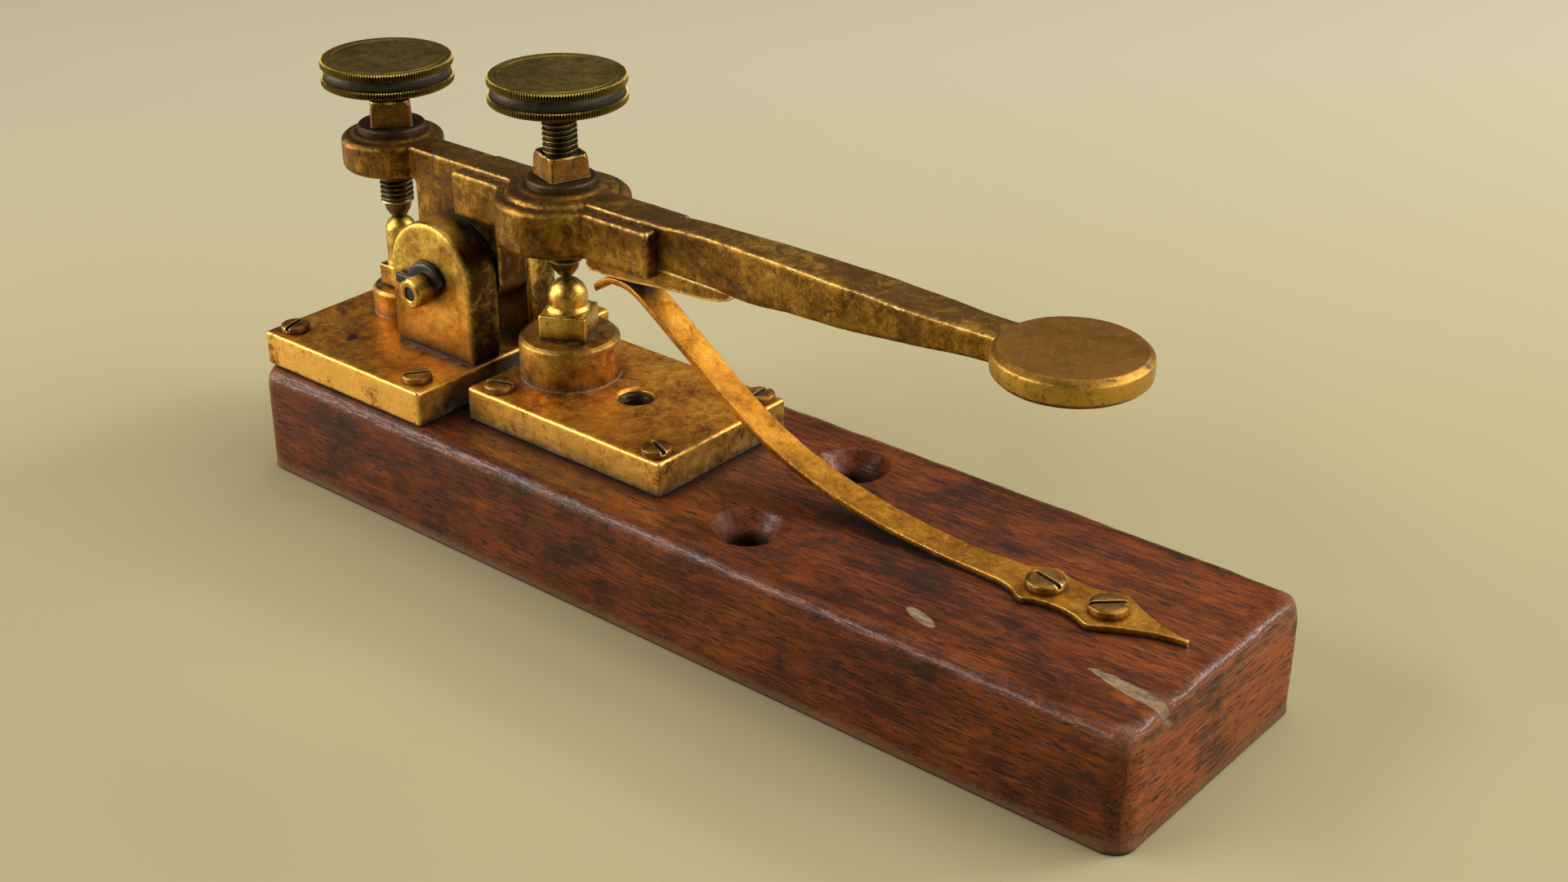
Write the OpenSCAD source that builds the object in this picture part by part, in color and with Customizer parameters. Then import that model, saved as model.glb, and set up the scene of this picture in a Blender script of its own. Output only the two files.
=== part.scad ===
// A straight morse key: a rocking brass lever on a wooden base, with adjusting screws above
// two contacts, square lock nuts, a finger disc and a long leaf spring.
// X runs along the base towards the finger disc, Y across it and Z up. Sizes are in millimetres.

/* [Base] */
// Length of the wooden base
base_l = 200; // [200:1:230]
// Width of the wooden base
base_w = 55; // [54:1:80]
// Height of the wooden base
base_h = 22; // [20:1:40]
// Radius of the rounded top edges
base_edge_r = 3; // [1:0.5:5]
// Radius of the upright corners
base_corner_r = 4.5; // [2:0.5:8]
// Distance of the two fixing holes from the middle of the base
fixing_x = 16; // [12:1:30]
// Spacing of the two fixing holes across the base
fixing_spacing = 29.2; // [26:0.2:32]
// Radius of a fixing hole
fixing_r = 3.5; // [2:0.1:4]
// Radius of its countersink at the top
fixing_sink_r = 6.6; // [5:0.1:8]

/* [Plates] */
// Length of the front contact plate
front_plate_l = 48.3; // [46:0.1:49]
// Width of the front contact plate
front_plate_w = 34.4; // [34:0.2:50]
// Thickness of the front contact plate
front_plate_t = 6.7; // [6:0.1:7]
// Width of the rear plate under the pivot posts
rear_plate_w = 51.2; // [49:0.2:53]
// Thickness of the rear plate
rear_plate_t = 7; // [6:0.1:7.5]
// Radius of the threaded wire hole in the front plate
terminal_r = 3.36; // [2:0.02:3.6]

/* [Pivot] */
// Thickness of each pivot post
post_t = 7.45; // [5:0.05:8]
// Width and arch diameter of each pivot post
post_w = 21.7; // [18:0.1:22]
// Gap between the two posts
post_gap = 7.7; // [7.6:0.1:8.4]
// Height of the pivot axis above the base top
pivot_rise = 20.85; // [20.5:0.05:21]
// Radius of the pivot axle
axle_r = 2.9; // [2.5:0.1:3.2]

/* [Lever] */
// Height of the lever's top face above the base top
lever_rise = 43.8; // [43.8:0.1:44.2]
// Thickness of the web that hangs between the posts
web_t = 7.2; // [6:0.1:7.2]
// Radius of the finger disc
disc_r = 12.7; // [10:0.1:15]
// Thickness of the finger disc
disc_t = 4.8; // [3:0.1:6]

/* [Adjusting screws] */
// Radius of each screw's thread
rod_r = 3.2; // [2.8:0.1:3.4]
// Radius of the knobs
knob_r = 12.55; // [10:0.05:13]
// Thickness of the knobs
knob_t = 5; // [4:0.1:6]
// Side of the square lock nuts
nut_side = 8; // [7.6:0.1:9]
// Radius of the washers under the lock nuts
washer_r = 6.5; // [6:0.1:8]
// Open gap between the front contacts at rest
contact_gap = 0.5; // [0.5:0.05:1]

/* [Leaf spring] */
// Thickness of the leaf
leaf_t = 1.25; // [0.8:0.05:1.5]
// Half of the width of the blade
leaf_half_w = 3; // [2:0.1:3.2]

/* [Hidden] */
$fn = 96;
// Clearance of a shaft in its hole, and a small overrun for cutting tools
fit = 0.05;
over = 1;

// Stations along X
pivot_x = -65.45;
front_x = -40.4;
rear_x = -86.3;
disc_x = 68.8;
front_plate_x = -26.1;
rear_plate_l = 44;
rear_plate_x = -76.6;
front_boss_x = -40.2;
rear_boss_x = -86;
terminal_x = -23.5;
leaf_root_x = 50;
contact_x = -25.5;

// Heights
front_deck = base_h + front_plate_t;
rear_deck = base_h + rear_plate_t;
pivot_z = base_h + pivot_rise;
arch_z = pivot_z + 1.55;
lever_z = base_h + lever_rise;
saddle_z = lever_z - 1;
saddle_h = 8.8;
bar_h = 9;
rear_boss_h = 6.6;
disc_top_z = lever_z + 0.2;

// Posts, axle and clip
post_y = (post_gap + post_t) / 2;
post_out_y = post_gap / 2 + post_t;
axle_near_y = -16.6;
axle_head_t = 2;
axle_head_r = 4.2;
core_r = 1.35;
core_recess = 0.4;
groove_r = 2.4;
clip_t = 1.4;
clip_near_y = -post_out_y - 0.1 - clip_t;
clip_out_r = 5;
clip_lug = 8.1;
clip_open = [235, 388];

// Screw lines
tip_h = 3.1;
front_tip_r = 1.3;
rear_tip_r = 1.6;
knob_rim_t = 1.55;
knob_groove = 0.65;
knob_skin = 1.5;
front_knob_z = base_h + 59.8;
rear_knob_z = base_h + 53.8;
washer_t = 1.5;
front_nut_h = 4.5;
rear_nut_h = 5;
front_nut_turn = -18.5;
rear_nut_turn = -39.5;
stud_r = 3.78;
pillar_r = 3;
front_tip_z = base_h + 26.5;
rear_tip_z = base_h + 26.9;
front_stud_top = front_tip_z - contact_gap;
rear_stud_top = rear_tip_z - fit;
front_boss_h = 8.2;
rear_boss_rise = 5.4;
front_collar_h = 4.8;
rear_collar_h = 4.4;

// Plate and spring screws: head radius, head height, shank radius and shank length
plate_screw = [2.8, 1.5, 1.45, 16];
spring_screw = [3.3, 1.6, 1.6, 12];
// Their places, each with the direction of its slot
front_screw_spots = [[-45, -14, 20], [-5.4, -14, -21], [-45, 14, 64], [-5.4, 14, 97]];
rear_screw_spots = [[-94.4, -21.4, 104], [-59.1, -21.4, 54], [-94.4, 21.4, 12], [-59.1, 21.4, 131]];
spring_screw_spots = [[67, -0.3, -14], [78.9, -0.3, 43]];

// Lever side view, as [x, height above the lever's top face]
bar_top = [[rear_x, 0], [-14, 0], [-8, 0.5], [8, 0.6], [30, 0.3], [40, -0.1], [disc_x, -0.4]];
bar_under = [
    [disc_x, -4.8], [56, -5.1], [47, -5.7], [35, -6.8], [26, -7.6], [16, -8.1], [6, -bar_h],
    [-75, -bar_h], [-75, -rear_boss_h], [rear_x, -rear_boss_h]
];
// Lever top view, as [x, half of the width]
bar_plan = [
    [rear_x, 3.7], [-20, 3.7], [-14, 3.25], [-4, 3.25], [8, 3.75], [16, 4.05], [30, 4.5],
    [42, 4.5], [50, 4], [57, 3.85], [disc_x, 3.85]
];
// Web between the posts: its ends along X and the radii of its corners and barrel
web_x = [-76.6, -54.3];
web_corner_r = 3.5;
barrel_r = 6.6;
// Saddle round the lever: its ends along X and half of its width
saddle_x = [-63.5, -14.3];
saddle_half_w = 6;
saddle_boss_r = 12.55;
front_boss_r = 10.5;
rear_lever_boss_r = 9.8;
// Spring wedge side view, as [x, height above the lever's top face]
wedge_half_w = 3.3;
wedge_side = [
    [-31.9, -9.8], [-31.9, -12.3], [-31.2, -12.9], [-26, -13], [-20.5, -12.6], [-9.6, -11.5],
    [-3, -11.1], [-0.4, -10.7], [1.8, -10], [3.6, -bar_h], [saddle_x[1], -bar_h],
    [saddle_x[1], -9.8]
];
wedge_gap = 0.2;

// Leaf spring: upper face of the blade, as [x, height above the base top]
hook_top = lever_rise - 13 - wedge_gap;
blade_top = [
    [leaf_root_x - fit, leaf_t], [40, 2], [30, 3.5], [20, 5.9], [10, 9.8], [0, 15.7],
    [-10, 22.7], [-20, 29.5], [contact_x, hook_top], [-28.7, hook_top - 1.1],
    [-31, hook_top - 2.9]
];
blade_steps = 5;
// Foot of the spring in plan, as [x, half of the width], from the blade to the point
foot_plan = [
    [leaf_root_x + fit, leaf_half_w], [60, 3.3], [62.7, 4.1], [65.9, 5.8], [67.6, 4.9],
    [69.6, 4.4], [72.4, 4.2], [75.2, 4.7], [78.4, 5.9], [81.2, 4.5], [84.6, 2.7], [88.6, 1.2],
    [93.3, 0]
];

// ---------- helpers ----------

// Outline symmetrical about the X axis, from a list of [x, half of the width]
function mirrored(side) = concat(side, [for (i = [len(side) - 1:-1:0]) [side[i][0], -side[i][1]]]);

// Points of a list raised by a height
function raised(points, z) = [for (p = points) [p[0], p[1] + z]];

// Point at t between p[i] and p[i + 1] on a smooth curve through all points
function at_or_end(p, i) = p[max(0, min(len(p) - 1, i))];
function curve_point(p, i, t) =
    let (a = at_or_end(p, i - 1), b = p[i], c = p[i + 1], d = at_or_end(p, i + 2))
    0.5 * (2 * b + (c - a) * t + (2 * a - 5 * b + 4 * c - d) * t * t
        + (3 * b - a - 3 * c + d) * t * t * t);
function curve(p, steps) = concat(
    [for (i = [0:len(p) - 2], s = [0:steps - 1]) curve_point(p, i, s / steps)],
    [p[len(p) - 1]]
);

// Points of an open line moved sideways by a distance
function moved_aside(p, distance) = [
    for (i = [0:len(p) - 1])
    let (along = at_or_end(p, i + 1) - at_or_end(p, i - 1))
    p[i] + distance * [-along[1], along[0]] / norm(along)
];

// Points where a line touches two circles on their lower side
function touch_points(c1, r1, c2, r2) =
    let (v = c2 - c1, a = atan2(v[1], v[0]) - acos((r1 - r2) / norm(v)))
    [c1 + r1 * [cos(a), sin(a)], c2 + r2 * [cos(a), sin(a)]];

// Side view in X and Z, given a width along Y
module along_y(width) {
    rotate([90, 0, 0]) linear_extrude(width, center = true) children();
}

// End view in Y and Z, given a length along X
module along_x(length) {
    rotate([90, 0, 90]) linear_extrude(length, center = true) children();
}

// Cylinder on the pivot axis from y0 to y1
module on_pivot(r, y0, y1) {
    translate([pivot_x, y1, pivot_z]) rotate([90, 0, 0]) cylinder(r = r, h = y1 - y0);
}

// Upright cylinder at x on the middle line, from z0 to z1
module upright(x, r, z0, z1) {
    translate([x, 0, z0]) cylinder(r = r, h = z1 - z0);
}

// Rectangle standing on the X axis with rounded upper corners
module eased_end(w, h, r) {
    translate([-w / 2, 0]) square([w, h - r]);
    translate([r - w / 2, 0]) square([w - 2 * r, h]);
    for (side = [-1, 1]) translate([side * (w / 2 - r), h - r]) circle(r);
}

// Centred rectangle with round corners
module rounded_rect(l, w, r) {
    square([l - 2 * r, w], center = true);
    square([l, w - 2 * r], center = true);
    for (i = [-1, 1], j = [-1, 1]) translate([i * (l / 2 - r), j * (w / 2 - r)]) circle(r);
}

// Disc with rounded rims, standing on z = 0
module eased_disc(r, h, edge) {
    rotate_extrude() {
        square([r - edge, h]);
        translate([0, edge]) square([r, h - 2 * edge]);
        for (z = [edge, h - edge]) translate([r - edge, z]) circle(edge, $fn = 32);
    }
}

// Slotted screw whose head stands on z = 0
module slotted_screw(size, slot_direction) {
    head_r = size[0];
    head_h = size[1];
    difference() {
        union() {
            cylinder(r = head_r, h = head_h - 0.3);
            translate([0, 0, head_h - 0.3]) cylinder(r1 = head_r, r2 = head_r - 0.3, h = 0.3);
        }
        rotate(slot_direction) translate([0, 0, head_h])
            cube([2 * head_r + over, 0.9, 1.6], center = true);
    }
    translate([0, 0, -size[3]]) cylinder(r = size[2], h = size[3]);
    translate([0, 0, -size[3] - 2]) cylinder(r1 = 0.2, r2 = size[2], h = 2);
}

// Slotted screws at their spots, standing on a deck
module screw_group(spots, size, deck) {
    for (s = spots) translate([s[0], s[1], deck]) slotted_screw(size, s[2]);
}

// Holes for the shanks of a screw group, reaching down past their points
module screw_holes(spots, size, deck) {
    for (s = spots) translate([s[0], s[1], deck - size[3] - 2.1])
        cylinder(r = size[2] + fit, h = size[3] + 2.1 + over);
}

// Flat plate with its middle at x, standing on the base
module plate(x, l, w, t) {
    translate([x - l / 2, -w / 2, base_h]) cube([l, w, t]);
}

// ---------- base and plates ----------

module wood_base() {
    color("saddlebrown") difference() {
        intersection() {
            linear_extrude(base_h) rounded_rect(base_l, base_w, base_corner_r);
            along_y(base_w) eased_end(base_l, base_h, base_edge_r);
            along_x(base_l) eased_end(base_w, base_h, base_edge_r);
        }
        for (side = [-1, 1]) translate([fixing_x, side * fixing_spacing / 2, 0]) {
            translate([0, 0, -over]) cylinder(r = fixing_r, h = base_h + 2 * over);
            translate([0, 0, base_h - 3.6])
                cylinder(r1 = fixing_r, r2 = fixing_sink_r, h = 3.6);
            translate([0, 0, base_h]) cylinder(r = fixing_sink_r, h = over);
        }
        screw_holes(front_screw_spots, plate_screw, front_deck);
        screw_holes(rear_screw_spots, plate_screw, rear_deck);
        screw_holes(spring_screw_spots, spring_screw, base_h + leaf_t);
        upright(terminal_x, terminal_r + 0.5, base_h - 8, base_h + over);
    }
}

module front_plate() {
    color("goldenrod") difference() {
        plate(front_plate_x, front_plate_l, front_plate_w, front_plate_t);
        screw_holes(front_screw_spots, plate_screw, front_deck);
        upright(terminal_x, terminal_r, base_h - over, front_deck + over);
    }
}

module rear_plate() {
    color("goldenrod") difference() {
        plate(rear_plate_x, rear_plate_l, rear_plate_w, rear_plate_t);
        screw_holes(rear_screw_spots, plate_screw, rear_deck);
    }
}

module front_plate_screws() {
    color("peru") screw_group(front_screw_spots, plate_screw, front_deck);
}

module rear_plate_screws() {
    color("peru") screw_group(rear_screw_spots, plate_screw, rear_deck);
}

// ---------- pivot ----------

module pivot_post(y) {
    difference() {
        translate([pivot_x, y, 0]) along_y(post_t) {
            translate([-post_w / 2, rear_deck]) square([post_w, arch_z - rear_deck]);
            translate([0, arch_z]) circle(post_w / 2);
        }
        on_pivot(axle_r + fit, y - post_t, y + post_t);
    }
}

module near_pivot_post() {
    color("darkgoldenrod") pivot_post(-post_y);
}

module far_pivot_post() {
    color("darkgoldenrod") pivot_post(post_y);
}

module pivot_axle() {
    head_y = post_out_y + fit;
    color("goldenrod") difference() {
        union() {
            on_pivot(axle_r, axle_near_y, head_y + axle_head_t);
            on_pivot(axle_head_r, head_y, head_y + axle_head_t);
        }
        on_pivot(core_r, axle_near_y - over, head_y + axle_head_t + over);
        difference() {
            on_pivot(axle_r + over, clip_near_y - fit, clip_near_y + clip_t + fit);
            on_pivot(groove_r, clip_near_y - over, clip_near_y + clip_t + over);
        }
    }
}

module axle_core() {
    far_y = post_out_y + fit + axle_head_t;
    color("dimgray") on_pivot(core_r - fit, axle_near_y + core_recess, far_y - core_recess);
}

module retaining_clip() {
    reach = 2 * clip_out_r;
    open_side = [
        for (i = [0:6])
        let (a = clip_open[0] + (clip_open[1] - clip_open[0]) * i / 6)
        reach * [cos(a), sin(a)]
    ];
    color("black") translate([pivot_x, clip_near_y + clip_t / 2, pivot_z]) along_y(clip_t) {
        difference() {
            circle(clip_out_r);
            circle(groove_r + fit);
            polygon(concat([[0, 0]], open_side));
        }
        translate([-clip_lug, -0.8]) square([clip_lug - groove_r - 1, 2]);
    }
}

// ---------- contacts ----------

module front_contact_boss() {
    color("goldenrod") difference() {
        upright(front_boss_x, 9.5, front_deck, front_deck + front_boss_h);
        upright(front_boss_x, pillar_r + fit, front_deck + over, front_deck + front_boss_h + over);
    }
}

module front_contact_stud() {
    collar_z = front_deck + front_boss_h;
    shoulder_z = front_stud_top - stud_r;
    color("gold") {
        upright(front_boss_x, pillar_r, front_deck + 2 * over, collar_z);
        translate([front_boss_x, 0, collar_z]) rotate(27.5)
            translate([-4.53, -4.53, 0]) cube([9.06, 9.06, front_collar_h]);
        upright(front_boss_x, stud_r, collar_z + front_collar_h, shoulder_z);
        translate([front_boss_x, 0, shoulder_z]) sphere(stud_r);
    }
}

module rear_contact_boss() {
    color("goldenrod") difference() {
        upright(rear_boss_x, 6.45, rear_deck, rear_deck + rear_boss_rise);
        upright(rear_boss_x, 2 + fit, rear_deck + over, rear_deck + rear_boss_rise + over);
    }
}

module rear_contact_stud() {
    collar_z = rear_deck + rear_boss_rise;
    shoulder_z = rear_stud_top - pillar_r;
    color("gold") {
        upright(rear_boss_x, 2, rear_deck + 2 * over, collar_z);
        translate([rear_boss_x - 3.45, -3.45, collar_z]) cube([6.9, 6.9, rear_collar_h]);
        upright(rear_boss_x, pillar_r, collar_z + rear_collar_h, shoulder_z);
        translate([rear_boss_x, 0, shoulder_z]) sphere(pillar_r);
    }
}

// ---------- lever ----------

// Web between the posts, with a barrel round the axle and a rounded corner at each end
module web_side() {
    pivot = [pivot_x, pivot_z];
    corner_z = pivot_z + 0.75;
    rear_c = [web_x[0] + web_corner_r, corner_z];
    front_c = [web_x[1] - web_corner_r, corner_z];
    rear_touch = touch_points(rear_c, web_corner_r, pivot, barrel_r);
    front_touch = touch_points(pivot, barrel_r, front_c, web_corner_r);
    translate([web_x[0], corner_z]) square([web_x[1] - web_x[0], lever_z - 3 - corner_z]);
    for (c = [rear_c, front_c]) translate(c) circle(web_corner_r);
    translate(pivot) circle(barrel_r);
    polygon([rear_c, rear_touch[0], rear_touch[1], front_touch[0], front_touch[1], front_c]);
}

// Lever without its bores
module lever_blank() {
    intersection() {
        along_y(4 * leaf_half_w) polygon(raised(concat(bar_top, bar_under), lever_z));
        translate([0, 0, base_h]) linear_extrude(lever_rise + over) polygon(mirrored(bar_plan));
    }
    along_y(web_t) web_side();
    upright(front_x, front_boss_r, saddle_z - saddle_h, lever_z);
    upright(rear_x, rear_lever_boss_r, lever_z - rear_boss_h, lever_z);
}

module lever_arm() {
    color("darkgoldenrod") difference() {
        lever_blank();
        on_pivot(axle_r + fit, -web_t, web_t);
        for (x = [front_x, rear_x])
            upright(x, rod_r + fit, saddle_z - saddle_h - over, lever_z + over);
        upright(disc_x, disc_r, base_h, lever_z + over);
    }
}

module lever_saddle() {
    length = saddle_x[1] - saddle_x[0];
    color("darkgoldenrod") difference() {
        union() {
            translate([saddle_x[0], -saddle_half_w, saddle_z - saddle_h])
                cube([length, 2 * saddle_half_w, saddle_h]);
            upright(front_x, saddle_boss_r, saddle_z - saddle_h, saddle_z);
        }
        lever_blank();
    }
}

module spring_wedge() {
    color("peru") along_y(2 * wedge_half_w) polygon(raised(wedge_side, lever_z));
}

module finger_disc() {
    color("darkgoldenrod") translate([disc_x, 0, disc_top_z - disc_t])
        eased_disc(disc_r, disc_t, 0.7);
}

// ---------- adjusting screws ----------

module rod(x, tip_z, knob_z) {
    upright(x, rod_r, tip_z + tip_h, knob_z + knob_t - knob_skin);
}

module contact_tip(x, tip_z, end_r) {
    translate([x, 0, tip_z]) cylinder(r1 = end_r, r2 = rod_r, h = tip_h);
}

module knob(x, knob_z) {
    translate([x, 0, knob_z]) difference() {
        union() {
            cylinder(r = knob_r, h = knob_rim_t);
            cylinder(r = knob_r - knob_groove, h = knob_t);
            translate([0, 0, knob_t - knob_rim_t]) cylinder(r = knob_r, h = knob_rim_t);
        }
        translate([0, 0, -over]) cylinder(r = rod_r + fit, h = knob_t - knob_skin + over + fit);
    }
}

// Square nut with its upper corners turned down
module lock_nut(x, h, turn) {
    translate([x, 0, lever_z + 0.5 + washer_t]) difference() {
        intersection() {
            rotate(turn) translate([-nut_side / 2, -nut_side / 2, 0])
                cube([nut_side, nut_side, h]);
            cylinder(r1 = 0.6 * nut_side + 3.2, r2 = 0.6 * nut_side, h = h);
        }
        translate([0, 0, -over]) cylinder(r = rod_r + fit, h = h + 2 * over);
    }
}

module washer(x) {
    translate([x, 0, lever_z]) difference() {
        cylinder(r = washer_r, h = washer_t + 0.5);
        translate([0, 0, -over]) cylinder(r = rod_r + 2 * fit, h = washer_t + 2 * over);
    }
}

module front_screw() {
    color("olive") rod(front_x, front_tip_z, front_knob_z);
}

module front_contact_tip() {
    color("olive") contact_tip(front_x, front_tip_z, front_tip_r);
}

module front_knob() {
    color("darkolivegreen") knob(front_x, front_knob_z);
}

module front_lock_nut() {
    color("peru") lock_nut(front_x, front_nut_h, front_nut_turn);
}

module front_washer() {
    color("dimgray") washer(front_x);
}

module rear_screw() {
    color("olive") rod(rear_x, rear_tip_z, rear_knob_z);
}

module rear_contact_tip() {
    color("olive") contact_tip(rear_x, rear_tip_z, rear_tip_r);
}

module rear_knob() {
    color("darkolivegreen") knob(rear_x, rear_knob_z);
}

module rear_lock_nut() {
    color("peru") lock_nut(rear_x, rear_nut_h, rear_nut_turn);
}

module rear_washer() {
    color("dimgray") washer(rear_x);
}

// ---------- leaf spring ----------

module spring_foot() {
    color("orange") difference() {
        translate([0, 0, base_h]) linear_extrude(leaf_t) polygon(mirrored(foot_plan));
        screw_holes(spring_screw_spots, spring_screw, base_h + leaf_t);
    }
}

module spring_blade() {
    upper = raised(curve(blade_top, blade_steps), base_h);
    lower = moved_aside(upper, leaf_t);
    back = [for (i = [len(lower) - 1:-1:0]) lower[i]];
    color("orange") along_y(2 * leaf_half_w) polygon(concat(upper, back));
}

module spring_screws() {
    color("peru") screw_group(spring_screw_spots, spring_screw, base_h + leaf_t);
}

wood_base();
front_plate();
rear_plate();
near_pivot_post();
far_pivot_post();
front_contact_boss();
front_contact_stud();
rear_contact_boss();
rear_contact_stud();
pivot_axle();
axle_core();
retaining_clip();
lever_arm();
lever_saddle();
spring_wedge();
finger_disc();
front_screw();
front_contact_tip();
front_knob();
front_lock_nut();
front_washer();
rear_screw();
rear_contact_tip();
rear_knob();
rear_lock_nut();
rear_washer();
spring_foot();
spring_blade();
spring_screws();
front_plate_screws();
rear_plate_screws();
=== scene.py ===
"""Looks of a brass telegraph key on a mahogany base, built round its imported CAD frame."""

from math import copysign, cos, degrees, hypot, pi, radians, sin, sqrt

import bpy
import bmesh
import numpy as np
from mathutils import Matrix, Vector, noise


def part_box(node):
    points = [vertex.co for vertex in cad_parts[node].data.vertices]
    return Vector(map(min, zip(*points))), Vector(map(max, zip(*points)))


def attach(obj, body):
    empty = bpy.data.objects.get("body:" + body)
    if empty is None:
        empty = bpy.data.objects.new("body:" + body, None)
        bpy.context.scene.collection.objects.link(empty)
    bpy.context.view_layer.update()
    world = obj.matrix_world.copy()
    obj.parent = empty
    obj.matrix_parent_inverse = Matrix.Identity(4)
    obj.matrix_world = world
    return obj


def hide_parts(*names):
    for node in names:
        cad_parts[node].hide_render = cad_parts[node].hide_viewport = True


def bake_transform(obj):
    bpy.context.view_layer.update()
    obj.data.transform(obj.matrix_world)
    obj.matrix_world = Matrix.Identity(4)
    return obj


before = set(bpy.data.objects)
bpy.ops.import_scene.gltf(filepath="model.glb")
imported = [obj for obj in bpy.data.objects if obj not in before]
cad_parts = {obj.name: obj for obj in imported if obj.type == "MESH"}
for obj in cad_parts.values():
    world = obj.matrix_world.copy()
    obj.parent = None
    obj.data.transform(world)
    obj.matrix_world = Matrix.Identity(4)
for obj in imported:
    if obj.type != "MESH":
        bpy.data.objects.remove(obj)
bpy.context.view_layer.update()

MM = 0.001
FULL = 2 * pi


def box_mm(node):
    """Lowest and highest corner of a CAD node, in millimetres."""
    low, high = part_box(node)
    return low / MM, high / MM


# ---------- outlines ----------


def arc(cx, cy, r, a0, a1, n):
    """n + 1 points of a circle from angle a0 to a1, in degrees."""
    angles = [radians(a0 + (a1 - a0) * i / n) for i in range(n + 1)]
    return [(cx + r * cos(a), cy + r * sin(a)) for a in angles]


def filleted(points, closed=False, steps=5):
    """The line through (x, y, r) points, with each corner rounded to its r."""
    out = []
    n = len(points)
    for i, (x, y, r) in enumerate(points):
        if r <= 0 or (not closed and i in (0, n - 1)):
            out.append((x, y))
            continue
        p = Vector((x, y))
        a = Vector(points[i - 1][:2]) - p
        b = Vector(points[(i + 1) % n][:2]) - p
        turn = a.angle(b)
        reach = min(r / max(1e-6, sin(turn / 2) / cos(turn / 2)), 0.49 * a.length, 0.49 * b.length)
        s, e = p + a.normalized() * reach, p + b.normalized() * reach
        for k in range(steps + 1):
            t = k / steps
            out.append(tuple(s * (1 - t) ** 2 + p * 2 * t * (1 - t) + e * t * t))
    return out


def smooth_curve(knots, x):
    """Value at x of a smooth curve through (x, value) knots, which rise in x."""
    if x <= knots[0][0]:
        return knots[0][1]
    if x >= knots[-1][0]:
        return knots[-1][1]
    i = max(k for k in range(len(knots) - 1) if knots[k][0] <= x)
    (x0, y0), (x1, y1) = knots[i], knots[i + 1]

    def slope(k):
        if k == 0 or k == len(knots) - 1:
            return 0.0
        a = (knots[k][1] - knots[k - 1][1]) / (knots[k][0] - knots[k - 1][0])
        b = (knots[k + 1][1] - knots[k][1]) / (knots[k + 1][0] - knots[k][0])
        return 0.0 if a * b <= 0 else 2 * a * b / (a + b)

    h = x1 - x0
    t = (x - x0) / h
    return (
        (2 * t ** 3 - 3 * t ** 2 + 1) * y0 + (t ** 3 - 2 * t ** 2 + t) * h * slope(i)
        + (3 * t ** 2 - 2 * t ** 3) * y1 + (t ** 3 - t ** 2) * h * slope(i + 1)
    )


def spline(points, steps):
    """A smooth line through points of any dimension."""
    out = []
    for i in range(len(points) - 1):
        a, b = Vector(points[max(0, i - 1)]), Vector(points[i])
        c, d = Vector(points[i + 1]), Vector(points[min(len(points) - 1, i + 2)])
        for s in range(steps):
            t = s / steps
            bend, twist = 2 * a - 5 * b + 4 * c - d, 3 * b - a - 3 * c + d
            out.append(0.5 * (2 * b + (c - a) * t + bend * t ** 2 + twist * t ** 3))
    out.append(Vector(points[-1]))
    return out


# ---------- solids ----------


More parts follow.
